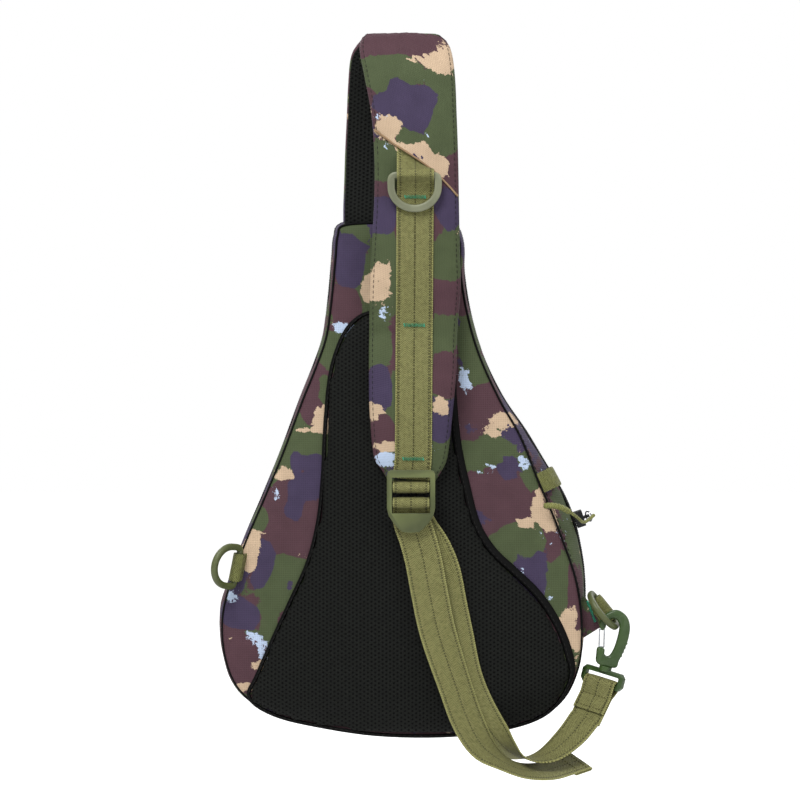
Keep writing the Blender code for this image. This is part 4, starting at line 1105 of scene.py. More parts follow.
def back_pad():
    """The swollen mesh cushion and the tape that binds its edge."""
    rings = [pad_ring(inset, y) for inset, y in
             ((1.2, -0.5), (2.2, -1.8), (1.2, -4.6), (-1.4, -6.6), (-5.3, -7.6))]
    for t in (0.12, 0.3, 0.5, 0.75, 1.0):
        ring = []
        for spot in pad_ring(-5.3, 0):
            spot = spot.lerp(pad_middle(spot), t)
            spot.y = -7.6 - 1.2 * math.sin(min(t * 2.2, 1) * math.pi / 2)
            ring.append(spot)
        rings.append(ring)
    piece = Piece()
    piece.loft(rings)
    made = piece.finish("back_pad_cushion", "bag", [MESH], ("back_pad_mesh", "back_pad_foam"),
                        "black_mesh", box=True)
    inflate(made, 4.0, 4.0, 3.5, lambda p: p.y > -1.2)

    binding = Piece()
    sections = []
    for spot, normal in zip(PAD, PAD_NORMALS):
        out = Vector((normal[0], 0, normal[1]))
        high = Vector((spot[0], 0, spot[1]))
        pucker = 0.18 * crease(high, 5, 23)
        wide = pad_bound(spot)
        sections.append([high - out * wide - Y * 0.3, high - Y * 0.3, high + out * .1 - Y * 1.4,
                         high - out * 0.2 * wide - Y * (2.5 + pucker),
                         high - out * 0.55 * wide - Y * (3.1 + pucker),
                         high - out * 0.9 * wide - Y * 2.9, high - out * (wide + .2) - Y * 1.8])
    binding.loft(sections, run_closed=True)
    row = [Vector((p[0] - n[0] * 0.7 * pad_bound(p), -3.0, p[1] - n[1] * 0.7 * pad_bound(p)))
           for p, n in zip(PAD, PAD_NORMALS)]
    binding.stitches(row + row[:1], -Y, pitch=3.6, length=2.6, radius=0.24)
    binding.finish("back_pad_edge_binding", "bag", [BINDING, DARK_THREAD], ("back_pad_binding",),
                   "black_binding", angle=70)

# ---------------------------------------------------------------- shoulder strap
STRAP_PATH = [
    (2.0, -127), (2.5, -116.5), (5.5, -107), (11.5, -90), (17, -70), (19.5, -48), (18, -26), (13, -8),
    (7, -1.2), (3, 0), (-3, 0), (-7, -1.2), (-13, -8), (-18, -26), (-20, -50), (-19.5, -78),
    (-19.5, -105), (-19.5, -135), (-16.5, -165), (-12, -193), (-14.5, -222), (-14.5, -250), (-12, -280),
    (-12, -290), (-12, -297)]
STRAP_EDGES = [
    (-41.5, 30), (-41.5, 31), (-41.5, 32), (-41, 33), (-40.5, 33), (-39.5, 33), (-38.5, 32.5),
    (-36.5, 30.5), (-31, 25.5), (-27, 21.5), (-27, 21.5), (-29, 25.5), (-30, 30.5), (-26.5, 33),
    (-22, 34), (-20, 35),
    (-20, 35.5), (-21.5, 36), (-23, 36.8), (-23.5, 34.8), (-23.7, 34), (-23.2, 31.5),
    (-20.4, 28), (-14.5, 24), (-10.5, 19.5)]
# The diagonal seam: where it starts across the strap, how wide it runs, its drop at both ends and
# how far it bows
SEAM_X = -20.0
SEAM_WIDTH = 55.0
SEAM_LEFT = 61.0
SEAM_RIGHT = 105.0
SEAM_BOW = 3.6
COVER_FACE = 7.0

# The cover rises by LAP_LIFT where it laps the webbing, and falls back over LAP_FADE beside it
WEBBING_X = 7.0
LAP_HALF = 14.6
LAP_FADE = 2.6
LAP_LIFT = 1.9
STRAP_FINE = 5

STRAP_LINE = smooth_points([Vector((0, y, z)) for y, z in STRAP_PATH], STRAP_FINE)
STRAP_SIDES = smooth_points([Vector((a, b, 0)) for a, b in STRAP_EDGES], STRAP_FINE)
STRAP_RUN = [0.0]
for one, two in zip(STRAP_LINE, STRAP_LINE[1:]):
    STRAP_RUN.append(STRAP_RUN[-1] + (two - one).length)
STRAP_TANGENTS = tangents(STRAP_LINE)
STRAP_END = STRAP_RUN[-1]


def strap_at(run):
    """Path point, outward normal and edges at a distance along the strap."""
    run = min(max(run, 0.0), STRAP_END)
    k = max(i for i in range(len(STRAP_RUN) - 1) if STRAP_RUN[i] <= run)
    t = (run - STRAP_RUN[k]) / (STRAP_RUN[k + 1] - STRAP_RUN[k])
    along = STRAP_TANGENTS[k].lerp(STRAP_TANGENTS[k + 1], t).normalized()
    sides = STRAP_SIDES[k].lerp(STRAP_SIDES[k + 1], t)
    return STRAP_LINE[k].lerp(STRAP_LINE[k + 1], t), Vector((0, along.z, -along.y)), sides


def run_at(z):
    """Distance along the strap of a height on its near half."""
    k = next(i for i in range(len(STRAP_LINE) - 1) if STRAP_LINE[i].y < 0
             and STRAP_LINE[i].z >= z >= STRAP_LINE[i + 1].z)
    t = (STRAP_LINE[k].z - z) / (STRAP_LINE[k].z - STRAP_LINE[k + 1].z)
    return STRAP_RUN[k] + t * (STRAP_RUN[k + 1] - STRAP_RUN[k])


def seam_height(x):
    """Height of the diagonal seam, which bows upwards over the webbing's far edge."""
    t = clamp((x - SEAM_X) / SEAM_WIDTH)
    return -SEAM_LEFT - (SEAM_RIGHT - SEAM_LEFT) * t + SEAM_BOW * 6.75 * t * t * (1 - t)


def over_webbing(x):
    """1 over the sewn webbing and 0 beside it."""
    return clamp((LAP_HALF - abs(x - WEBBING_X)) / LAP_FADE)


def on_strap(x, run, height):
    """A point at x across the strap, a distance along it and a height over its inner face."""
    point, normal, _ = strap_at(run)
    return point + X * x + normal * height


FOLD_RUN = run_at(-80)
PINCH_RUN = run_at(-197)

# Cover cross-section: distance in from the edge, and height; then the flat columns
EDGE_ROLL = [(1.2, 1.5), (0.0, 1.7), (-0.6, 2.8), (-0.7, 4.0), (-0.1, 5.4), (1.3, 6.5), (3.4, 6.95)]
FLAT_COLUMNS = 12


def cover_ring(run_for, to_seam):
    """One ring round the cover; run_for gives the run at each x, so the ring may slant.

    to_seam is how far the ring is from the diagonal seam on the side that laps the webbing.
    """
    ring = []

    def place(x_of, height, roll):
        run = run_for(0.5)
        for _ in range(3):
            _, _, sides = strap_at(run)
            x = x_of(sides)
            run = run_for((x - sides.x) / (sides.y - sides.x))
        wrinkle = 0.6 * crease((x, run, 0), 15, 31) + 0.55 * crease((x * 0.4, run, 3), 6, 33)
        gather = math.exp(-((run - FOLD_RUN) / 9) ** 2 - ((x + 22) / 9) ** 2)
        pinch = math.exp(-((run - PINCH_RUN) / 3.5) ** 2) * clamp((-4 - x) / 6)
        lift = wrinkle * (0.4 if roll else 1.0) + 1.1 * gather * math.sin(run * 1.05) - 2.2 * pinch
        if not roll:
            lift += LAP_LIFT * over_webbing(x) * clamp(1 - to_seam / 7.0)
        ring.append(on_strap(x, run, height + lift))

    for inset, height in EDGE_ROLL:
        place(lambda s, d=inset: s.x + d, height, True)
    for k in range(1, FLAT_COLUMNS):
        t = k / FLAT_COLUMNS
        crown = 0.5 * math.sin(math.pi * t)
        place(lambda s, f=t: s.x + 3.4 + (s.y - s.x - 6.8) * f, COVER_FACE + crown, False)
    for inset, height in EDGE_ROLL[::-1]:
        place(lambda s, d=inset: s.y - d, height, True)
    return ring


def seam_run(f):
    """Distance along the strap of the diagonal seam at a share of its width."""
    return run_at(seam_height(SEAM_X + SEAM_WIDTH * clamp(f)))


def upper_run(f, t):
    """Distance along the strap at a share of its width and of the upper cover's length."""
    return t * (seam_run(f) - 0.4)


def lower_run(f, t):
    """The same for the lower cover, which starts just under the seam."""
    start = seam_run(f) - 1.2
    return start + t * (STRAP_END - 0.3 - start)


def strap_outward(spot):
    """Which way the strap's printed side faces: up on the fold, else away from its middle."""
    if spot.z > -14:
        return Z
    return -Y if spot.y < 0 else Y


def strap_covers():
    """The two printed covers with their edge stitching; the upper one laps the lower one."""
    across = []
    for inset, height in EDGE_ROLL:
        across.append(-32 + inset - (7 - height))
    across += [-28 + 56 * k / FLAT_COLUMNS for k in range(1, FLAT_COLUMNS)]
    across += [-a for a in across[:len(EDGE_ROLL)][::-1]]

    for name, mapping, node, count in (("strap_cover_upper", upper_run, "strap_upper_cover", 66),
                                       ("strap_cover_lower", lower_run, "strap_lower_cover", 60)):
        piece = Piece()
        rings = []
        for k in range(count + 1):
            gap = (1 - k / count) * seam_run(0.5) if mapping is upper_run else 99.0
            rings.append(cover_ring(lambda f, t=k / count: mapping(f, t), gap))
        if mapping is lower_run:
            for spot in rings[0][len(EDGE_ROLL):-len(EDGE_ROLL)]:
                spot.y += 1.5
        piece.loft(rings, across=across)
        for side in (0, 1):
            row = []
            for k in range(count + 1):
                run = mapping(side, k / count)
                _, _, sides = strap_at(run)
                x = sides[side] + (1.7 if side == 0 else -1.7)
                row.append(on_strap(x, run, COVER_FACE - 0.25))
            piece.stitches(row, strap_outward, pitch=3.6, length=2.5, radius=0.22)
        nodes = (node, "strap_foam") if mapping is upper_run else (node,)
        piece.finish(name, "bag", [CAMO, DARK_THREAD], nodes, "camo_fabric", ink=True, angle=70)


def strap_lining():
    """Spacer mesh along the strap's inner face."""
    lining = Piece()
    rings = []
    steps = 120
    for k in range(steps + 1):
        run = STRAP_END * k / steps
        _, _, sides = strap_at(run)
        ring = []
        for f in range(13):
            x = sides.x + 0.6 + (sides.y - sides.x - 1.2) * f / 12
            puff = -0.5 * math.sin(math.pi * f / 12) + 0.25 * crease((x, run, 0), 17, 41)
            ring.append(on_strap(x, run, puff if 0 < f < 12 else 0.5))
        for f in range(12, -1, -1):
            x = sides.x + 0.2 + (sides.y - sides.x - 0.4) * f / 12
            ring.append(on_strap(x, run, 1.4))
        rings.append(ring)
    flat = [-34 + 68 * f / 12 for f in range(13)]
    lining.loft(rings, across=flat + flat[::-1])
    lining.finish("strap_lining_mesh", "bag", [MESH], ("strap_mesh_lining",), "black_mesh", angle=70)


def strap_piping():
    """The raised edge along the diagonal seam."""
    piping = Piece()
    line = []
    for k in range(40):
        x = -20.3 + 55.6 * k / 39
        run = run_at(seam_height(x))
        line.append(on_strap(x, run, COVER_FACE + 0.6 + LAP_LIFT * over_webbing(x)
                             - (1.2 if k in (0, 39) else 0)))
    piping.tube(line, 0.7, 8, up=Y)
    piping.finish("strap_seam_piping", "bag", [TAN_PIPING], ("strap_piping",), "camo_fabric")


def webbing_middle(z):
    """Where the sewn webbing's middle lies across the strap at a height."""
    return 6.9 - 1.3 * (-z - 90) / 190 if z > -280 else 5.6 - 1.6 * (-z - 280) / 17


WEB_WIDTH = 25.0
WEB_THICK = 1.6
WEB_COLUMNS = 8


def web_ring(centre, side, face, width=WEB_WIDTH, thick=WEB_THICK, lean=Vector()):
    """Cross-section of webbing: rounded selvedges and a slightly full face.

    lean shifts the ring's points along the webbing in step with their place across it.
    """
    ring = []
    half = width / 2
    for sign in (1, -1):
        for k in range(WEB_COLUMNS + 1):
            t = (2 * k / WEB_COLUMNS - 1) * sign
            rise = thick / 2 * (1 - 0.45 * abs(t) ** 8)
            ring.append(centre + side * t * half * 0.985 + lean * t + face * rise * sign)
        ring.append(centre + side * half * sign + lean * sign + face * thick * 0.05 * sign)
    return ring


def web_across(width=WEB_WIDTH):
    """Weave coordinates of web_ring's points, from the webbing's middle."""
    half = width / 2
    out = []
    for sign in (1, -1):
        out += [(2 * k / WEB_COLUMNS - 1) * sign * half for k in range(WEB_COLUMNS + 1)]
        out.append(half * sign)
    return out


def web_strip(piece, spots, sides, width=WEB_WIDTH, thick=WEB_THICK, leans=None):
    """Webbing along a path; sides says which way its width lies at each point."""
    rings = []
    for k, (spot, run, side) in enumerate(zip(spots, tangents(spots), sides)):
        side = (side - run * side.dot(run)).normalized()
        face = run.cross(side).normalized()
        lean = leans[k] if leans else Vector()
        rings.append(web_ring(spot, side, face, width, thick, lean))
    piece.loft(rings, across=web_across(width))


STRAP_RING = Vector((6.4, -32.6, -91.5))


def strap_webbing():
    """Sewn webbing: tucked under the diagonal seam, over the D-ring's bar, down to the buckle."""
    face = COVER_FACE + 1.1
    spots = []
    for z, lift in ((-79, -1.0), (-83, 0.2)):
        spots.append(on_strap(6.9, run_at(z), face + lift))
    for turn in (5, 30, 55, 80, 105):
        t = math.radians(turn)
        spots.append(STRAP_RING + Vector((0.5, -3.6 * math.sin(t), 3.6 * math.cos(t))))
    for z, lift in ((-95.5, 3.4), (-99, 1.5), (-102.5, 0.1)):
        spots.append(on_strap(7.0, run_at(z), face + lift))
    for z in (-108, -118, -130, -145, -160, -175, -190, -205, -220, -235, -250, -265,
              -280, -290, -295.5):
        spots.append(on_strap(webbing_middle(z), run_at(z), face))
    fine = smooth_points(spots, 4)
    piece = Piece()
    leans = [Z * -8.8 * max(0.0, 1 - k / 8) for k in range(len(fine))]
    web_strip(piece, fine, [X] * len(fine), leans=leans)
    for offset in (-11.2, 0.0, 11.2):
        row = [on_strap(webbing_middle(z) + offset, run_at(z), face + 0.85)
               for z in range(-104, -296, -6)]
        piece.stitches(row, -Y, pitch=3.0, length=2.2, radius=0.24)
    piece.finish("strap_webbing_band", "bag", [WEBBING, THREAD],
                 ("strap_webbing", "strap_ring_keeper"), "olive_webbing")


TACK_PITCH = 0.42
TACK_THREAD = 0.36


def zigzag(name, node, start, end, out, wide=1.1):
    """Bar tack: dense satin stitches across a short line."""
    piece = Piece()
    along = end - start
    side = along.normalized().cross(out).normalized()
    count = int(along.length / TACK_PITCH)
    line = []
    for k in range(count + 1):
        sway = wide if k % 2 else -wide
        jitter = 0.12 * crease((k * 3.1, 0, 0), 2, 51)
        line.append(start + along * (k / count) + side * (sway + jitter)
                    + out * (0.15 if 0 < k < count else -0.2))
    piece.tube(line, TACK_THREAD, 5, up=out)
    piece.finish(name, "bag", [TEAL], (node,), "teal_thread", angle=80)


def tacks():
    """The three bar tacks that hold the webbing to the strap."""
    for name, z in (("upper", -106), ("middle", -191), ("lower", -281)):
        middle = webbing_middle(z)
        a, b = (on_strap(middle + s * 7, run_at(z), COVER_FACE + 2.6) for s in (-1, 1))
        zigzag("bar_tack_%s_thread" % name, "bar_tack_" + name, a, b, -Y)


# ---------------------------------------------------------------- D-rings
RING_REACH = 22.4
RING_SIDE = 8.0
RING_CORNER = 3.2
STRAP_RING_HALF = 15.7
SIDE_RING_HALF = 13.4


def ring_outline(half):
    """A D-ring's line: its straight bar, two short sides and a round bow."""
    corner = RING_CORNER
    points = [(-half + corner, 0), (-half / 2, 0), (0, 0), (half / 2, 0), (half - corner, 0),
              (half - 0.9, 0.9)]
    steps = 14
    points.append((half, corner))
    for k in range(steps + 1):
        turn = math.pi * k / steps
        points.append((half * math.cos(turn), RING_SIDE + (RING_REACH - RING_SIDE) * math.sin(turn)))
    points += [(-half, corner), (-half + 0.9, 0.9)]
    return points


def d_ring(name, node, body, centre, along, reach, look, wide, thick, square, slot, half=SIDE_RING_HALF):
    """A moulded D-ring: a rounded bar section that follows the ring's line."""
    along = Vector(along).normalized()
    reach = Vector(reach).normalized()
    across = along.cross(reach).normalized()
    flat = smooth_points([Vector(p) for p in ring_outline(half)], 3, True)
    spots = [centre + along * p[0] + reach * p[1] for p in flat]
    sections = []
    for spot, point, run in zip(spots, flat, tangents(spots, True)):
        side = run.cross(across)
        bar = max(0.0, 1 - point[1] / 3.0)
        w = wide / 2 * (1 - bar) + min(wide / 2, 2.1) * bar
        ring = []
        for j in range(16):
            c, s = math.cos(math.tau * j / 16), math.sin(math.tau * j / 16)
            ring.append(spot + side * w * math.copysign(abs(c) ** square, c)
                        + across * thick / 2 * math.copysign(abs(s) ** square, s))
        sections.append(ring)
    piece = Piece()
    piece.loft(sections, run_closed=True)
    piece.finish(name, body, [look], (node,), slot, angle=60)


KEEPER_WIDTH = 19.0


def keeper(name, node, bar, along, tail, length):
    """Webbing folded round a ring's bar, with its two ends sewn down together."""
    along = Vector(along).normalized()
    tail = Vector(tail).normalized()
    off = along.cross(tail).normalized()
    reach = 3.45
    spots = [bar + tail * length + off * 0.85, bar + tail * (length * 0.55) + off * 1.6]
    for k in range(9):
        turn = math.pi * k / 8
        spots.append(bar + off * reach * math.cos(turn) - tail * reach * math.sin(turn))
    spots += [bar + tail * (length * 0.55) - off * 1.6, bar + tail * length - off * 0.85]
    fine = smooth_points(spots, 3)
    piece = Piece()
    web_strip(piece, fine, [along] * len(fine), KEEPER_WIDTH, 1.4)
    row = [bar + tail * (length * 0.55) + off * 2.35 + along * s for s in (-8, 0, 8)]
    piece.stitches(row, off, pitch=2.6, length=1.9, radius=0.22)
    piece.stitches([p - off * 4.7 for p in row], -off, pitch=2.6, length=1.9, radius=0.22)
    piece.finish(name, "bag", [KEEPER, THREAD], (node,), "olive_webbing")


LEFT_RING = Vector((-114, -4.9, -355.5))
LEFT_ALONG = Vector((-.196, 0, -.98))
RIGHT_RING = Vector((136.6, 13.7, -384.9))
RIGHT_ALONG = Vector((.63, 0, -.777))


def rings():
    """The three D-rings and the two webbing folds that hold the side ones."""
    d_ring("strap_ring_moulding", "strap_d_ring", "strap_ring", STRAP_RING, X, (0, .1, -.995),
           GREY_OLIVE, 5.0, 4.4, 0.45, "grey_olive_plastic", STRAP_RING_HALF)
    d_ring("left_ring_moulding", "left_d_ring", "left_ring", LEFT_RING, LEFT_ALONG,
           (-.62, -.775, .124), OLIVE_PLASTIC, 4.6, 4.2, 0.75, "olive_plastic")
    d_ring("right_ring_moulding", "right_d_ring", "right_ring", RIGHT_RING, RIGHT_ALONG,
           (-.155, -.98, -.125), OLIVE_PLASTIC, 4.6, 4.2, 0.75, "olive_plastic")
    keeper("left_keeper_webbing", "left_ring_keeper", LEFT_RING, LEFT_ALONG, (.55, .83, 0), 8.0)
    keeper("right_keeper_webbing", "right_ring_keeper", RIGHT_RING, RIGHT_ALONG,
           (-.777, 0.05, -.63), 9.0)


def wing():
    """Fabric wing that carries the right ring: two layers with turned edges.

    Its corners are a and b on the bag, and c and d at the ring, all in one plane.
    """
    b = Vector((123.6, 9, -407))
    c = Vector((137.6, 13.7, -395.6))
    d = Vector((123.8, 13.7, -377.6))
    plane = (c - b).cross(d - b)
    a = Vector((122.6, 0, -375))
    a.y = b.y - (plane.x * (a.x - b.x) + plane.z * (a.z - b.z)) / plane.y
    normal = (c - a).cross(d - b).normalized()
    if normal.y > 0:
        normal = -normal
    root_a, root_b = a - X * 5, b - X * 5
    piece = Piece()
    sections = []
    steps = 12
    for k in range(steps + 1):
        t = k / steps
        low, high = root_b.lerp(c, t), root_a.lerp(d, t)
        ring = []
        for face in (1, -1):
            for j in range(9):
                f = j / 8 if face == 1 else 1 - j / 8
                spot = low.lerp(high, f)
                edge = min(1, 4 * min(f, 1 - f) + 0.25) * min(1, 4 * (1 - t) + 0.3)
                wave = 0.6 * crease(spot, 9, 61)
                ring.append(spot + normal * (face * 1.15 * edge + wave))
        sections.append(ring)
    piece.loft(sections)
    piece.stitches([root_a.lerp(d, t / 6) * 0.86 + root_b.lerp(c, t / 6) * 0.14 + normal * 1.3
                    for t in range(7)], normal, pitch=2.6, length=1.8, radius=0.2)
    piece.finish("right_wing_fabric", "bag", [CAMO, DARK_THREAD], ("right_wing_tab",),
                 "camo_fabric", box=True, ink=True)
    start = a.lerp(d, 0.62).lerp(b.lerp(c, 0.62), 0.15) + normal * 1.6
    end = a.lerp(d, 0.62).lerp(b.lerp(c, 0.62), 0.75) + normal * 1.6
    zigzag("wing_tack_thread", "wing_bar_tack", start, end, normal, 0.8)

# ---------------------------------------------------------------- free webbing
TAIL_ROUTE = [
    ((4.4, -23.5, -322.5), (1, 0, 0)), ((5.2, -23.5, -326), (1, 0, 0)),
    ((8.4, -23.2, -335), (1, 0, 0)), ((12.4, -22.4, -350), (1, 0, 0)), ((16.9, -21.8, -374), (1, 0, 0)),
    ((22.3, -22, -399), (.97, .18, 0)), ((33.1, -24, -432.5), (.84, .42, .25)),
    ((41.9, -27, -457), (.74, .5, .4)), ((51.5, -30, -474), (.55, .72, .4)),
    ((64.2, -31, -484), (.2, .95, .25)), ((77.7, -29.5, -490), (-.2, .93, .3)),
    ((93, -24, -491.5), (-.5, .8, .32)), ((106, -15, -489.4), (-.57, .76, .32)),
    ((119, -6.6, -486.4), (-.57, .76, .32))]

LOAD_ROUTE = [
    ((4.4, -20.9, -316.5), (1, 0, 0)), ((5.4, -20.8, -320), (1, 0, 0)),
    ((10, -19.8, -329), (1, 0, 0)), ((18.5, -17.8, -342), (1, 0, 0)),
    ((25, -16.2, -358), (1, 0, 0)),
    ((29.4, -15.4, -380), (1, 0, 0)), ((33.6, -15.2, -400), (1, 0, 0)),
    ((39.2, -15.2, -427), (1, 0, .2)), ((47.3, -15.6, -448), (.95, 0, .35)),
    ((57.5, -16.5, -465), (.8, -.3, .5)), ((69, -17.5, -477), (.5, -.75, .35)),
    ((81.8, -18.5, -483.3), (.25, -.96, .05)), ((97.3, -17.5, -480.6), (.4, -.88, -.2)),
    ((111.9, -12.5, -469.5), (.6, -.75, -.3))]

STEM = Vector((136.8, 1.0, -423.5))
HOOK_LEAN = math.radians(14.0)
EYE_TURN = math.radians(37.0)
LOOP_TILT = math.radians(22.0)
UP = Vector((math.sin(HOOK_LEAN), 0, math.cos(HOOK_LEAN)))
OVER = Vector((math.cos(HOOK_LEAN), 0, -math.sin(HOOK_LEAN)))
EYE_OVER = OVER * math.cos(EYE_TURN) - Y * math.sin(EYE_TURN)
EYE_OUT = -(OVER * math.sin(EYE_TURN) + Y * math.cos(EYE_TURN))
LOOP_RUN = -UP * math.cos(LOOP_TILT) + EYE_OUT * math.sin(LOOP_TILT)
EYE_BAR = -12.0
LOOP_LENGTH = 21.0
ROUTE_FINE = 5
LOAD_SPLIT = 7
SWIVEL_ROOM = 5.5
LOCK_PIVOT = Vector((4.0, -27.0, -300.5))
SECOND_BAR = -10.5
BAR_RADIUS = 1.8


def fine_route(route):
    """Points along a route, and the way that the webbing's width lies at each."""
    return (smooth_points([p for p, _ in route], ROUTE_FINE),
            smooth_points([w for _, w in route], ROUTE_FINE))


def webbing_tail():
    """The free end below the buckle, with a doubled hem and a crimped cut edge."""
    tail = Piece()
    spots, sides = fine_route(TAIL_ROUTE)
    web_strip(tail, spots, sides)
    run = (spots[-1] - spots[-2]).normalized()
    side = (sides[-1] - run * sides[-1].dot(run)).normalized()
    face = run.cross(side).normalized()
    if face.z > 0:
        face = -face
    hem = [spots[-1] - run * d + face * 1.5 for d in (13.0, 9.0, 4.0, 0.0)]
    web_strip(tail, hem, [side] * 4, WEB_WIDTH, 1.4)
    for k in range(12):
        across = (k - 5.5) * 2.1
        tip = spots[-1] + side * across + face * 0.75
        tooth = [tip - run * 1.2, tip + run * 0.9]
        tail.tube(tooth, lambda step: (1.25, 0.7)[step], 6, up=face)
    for d in (3.0, 10.5):
        row = [spots[-1] - run * d + side * s - face * 0.85 for s in (-11, 0, 11)]
        tail.stitches(row, -face, pitch=2.6, length=1.9, radius=0.24)
    made = tail.finish("webbing_tail_strip", None, [WEBBING, THREAD], ("webbing_tail",),
                       "olive_webbing")
    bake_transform(made)


def webbing_load_run():
    """From the buckle to the hook, in two lengths."""
    start = STEM + UP * EYE_BAR + LOOP_RUN * (LOOP_LENGTH + SWIVEL_ROOM)
    whole = LOAD_ROUTE + [(tuple(start), tuple(EYE_OVER))]
    spots, sides = fine_route(whole)
    runs = tangents(spots)
    split = ROUTE_FINE * LOAD_SPLIT
    for name, first, last, body, low, high in (
            ("webbing_load_upper", 0, split + 1, "ladder_lock", whole[5], whole[1]),
            ("webbing_load_lower", split, len(spots), "swivel", whole[9], whole[-1])):
        strip = Piece()
        rings = []
        for k in range(first, last):
            side = (sides[k] - runs[k] * sides[k].dot(runs[k])).normalized()
            rings.append(web_ring(spots[k], side, runs[k].cross(side).normalized()))
        strip.loft(rings, across=web_across())
        made = strip.finish(name, None, [WEBBING, THREAD], ("webbing_load_run",),
                            "olive_webbing")
        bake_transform(made)


def wrap(base, path, across, width):
    """A piece of webbing that runs through the path's points, measured from a base point."""
    fine = smooth_points([base + p for p in path], 4)
    piece = Piece()
    web_strip(piece, fine, [across] * len(fine), width, 1.4)
    return piece


def buckle_webbing():
    """The loop that holds the buckle's first bar, and the grip round its second one."""
    reach = BAR_RADIUS + 0.3 + 0.75
    arc = [Vector((0, -reach * math.sin(t), reach * math.cos(t)))
           for t in (math.pi * k / 8 for k in range(9))]
    path = [Vector((0, 8.4, 3.6)), Vector((0, 6.2, 3.3)), Vector((0, 4.4, 3.0))] + arc \
        + [Vector((0, 3.6, -3.4)), Vector((0, 6.2, -3.5)), Vector((0, 8.2, -1.5))]
    piece = wrap(LOCK_PIVOT, path, X, WEB_WIDTH - 0.4)
    piece.finish("buckle_loop_webbing", "bag", [WEBBING], ("buckle_webbing_loop",),
                 "olive_webbing")
    second = [p + Z * SECOND_BAR for p in arc]
    path = [Vector((0, 6.0, -12.0)), Vector((0, 5.6, -8.6)), Vector((0, 3.4, -7.3))] + second \
        + [Vector((0, 2.4, -14.6)), Vector((0, 3.5, -18.4)), Vector((0.3, 3.6, -23.5))]
    piece = wrap(LOCK_PIVOT, path, X, WEB_WIDTH - 0.4)
    piece.finish("lock_grip_webbing", "ladder_lock", [WEBBING], ("ladder_lock_webbing",),
                 "olive_webbing")


def hook_loop():
    """Webbing folded through the swivel eye and sewn down in a box."""
    bar = STEM + UP * EYE_BAR
    off = LOOP_RUN.cross(EYE_OVER).normalized()
    reach = 3.8
    arc = [LOOP_RUN * -reach * math.sin(t) + off * reach * math.cos(t)
           for t in (math.pi * k / 8 for k in range(9))]
    length = LOOP_LENGTH
    path = [LOOP_RUN * length + off * .9, LOOP_RUN * 15 + off * .9, LOOP_RUN * 9 + off * .9,
            LOOP_RUN * 5 + off * 2.3] + arc + [LOOP_RUN * 5 - off * 2.3, LOOP_RUN * 9 - off * .9,
                                               LOOP_RUN * 15 - off * .9,
                                               LOOP_RUN * (length + 8) - off * .9]
    piece = wrap(bar, path, EYE_OVER, WEB_WIDTH)
    low, middle, high, half = 9.5, 14, 18.5, 10.5
    box = [[(d, s) for s in (-half, 0, half)] for d in (low, high)]
    box += [[(d, s) for d in (low, middle, high)] for s in (-half, half)]
    for side in box:
        for sign in (1, -1):
            row = [bar + LOOP_RUN * d + off * 1.7 * sign + EYE_OVER * s for d, s in side]
            piece.stitches(row, off * sign, pitch=2.5, length=1.8, radius=0.24)
    piece.finish("hook_loop_webbing", "swivel", [WEBBING, THREAD], ("hook_webbing_loop",),
                 "olive_webbing")


# ---------------------------------------------------------------- ladder lock and hook
def lock_shape(p):
    """Domes the tongue."""
    local = p - LOCK_PIVOT
    if local.z < -17.5:
        t = min(1.0, (-17.5 - local.z) / 13.0)
        dome = math.sin(math.pi * min(t * 1.1, 1.0)) * (1 - (local.x / 17) ** 2)
        p = p + Y * (-1.3 * dome if local.y < 0 else 0.6 * dome)
    return p


HOOK_OUTER = [
    (-6, .6), (6.2, .6), (7.6, 6), (9.4, 14), (10.2, 22), (9.4, 30), (6.2, 36), (1, 39),
    (-4, 38.6), (-9, 34.5), (-11.2, 29), (-10.8, 25.4)]
HOOK_INNER = [
    (-6.9, 25.4), (-6.6, 28.5), (-4, 32.4), (-.5, 32.6), (2.4, 29), (2.9, 20),
    (2.1, 12), (0, 7.4), (-3, 8), (-4, 11.5), (-8.4, 11.5), (-8.4, 7)]


HOOK_HALF = 3.0


def snap_hook():
    """Hook body: a smoothed outline with a full, rounded section and grip ridges."""
    outline = [Vector(p) for p in HOOK_OUTER + HOOK_INNER]
    fine = smooth_points(outline, 4, True)
    # This outline runs anticlockwise, so its normals point inwards
    normals = normals_2d(fine)
    half = HOOK_HALF
    sections = []
    for lift, inset in ((-half, 1.1), (-half + .45, .35), (-half + 1.3, 0.0), (half - 1.3, 0.0),
                        (half - .45, .35), (half, 1.1)):
        ring = []
        for p, n in zip(fine, normals):
            q = p + n * inset
            ring.append(STEM + OVER * q[0] + UP * q[1] + Y * lift)
        sections.append(ring)
    piece = Piece()
    piece.loft(sections)
    for k in range(4):
        v = 9.5 + k * 3.0
        u = 8.15 + (v - 9) * 0.17
        line = [STEM + OVER * u + UP * v + Y * s for s in (-2.4, -1.2, 0, 1.2, 2.4)]
        piece.tube(line, lambda s: (0.35, 0.85, 0.95, 0.85, 0.35)[s], 8, up=UP)
    ball = [STEM + OVER * -8.75 + UP * 25.2 + Y * s for s in (-2.9, -2.6, -1.3, 1.3, 2.6, 2.9)]
    piece.tube(ball, lambda s: (0.6, 1.4, 1.9, 1.9, 1.4, 0.6)[s], 10, up=UP)
    piece.finish("snap_hook_moulding", "bag", [HOOK_GREEN], ("snap_hook_body",), "hook_plastic",
                 angle=40)


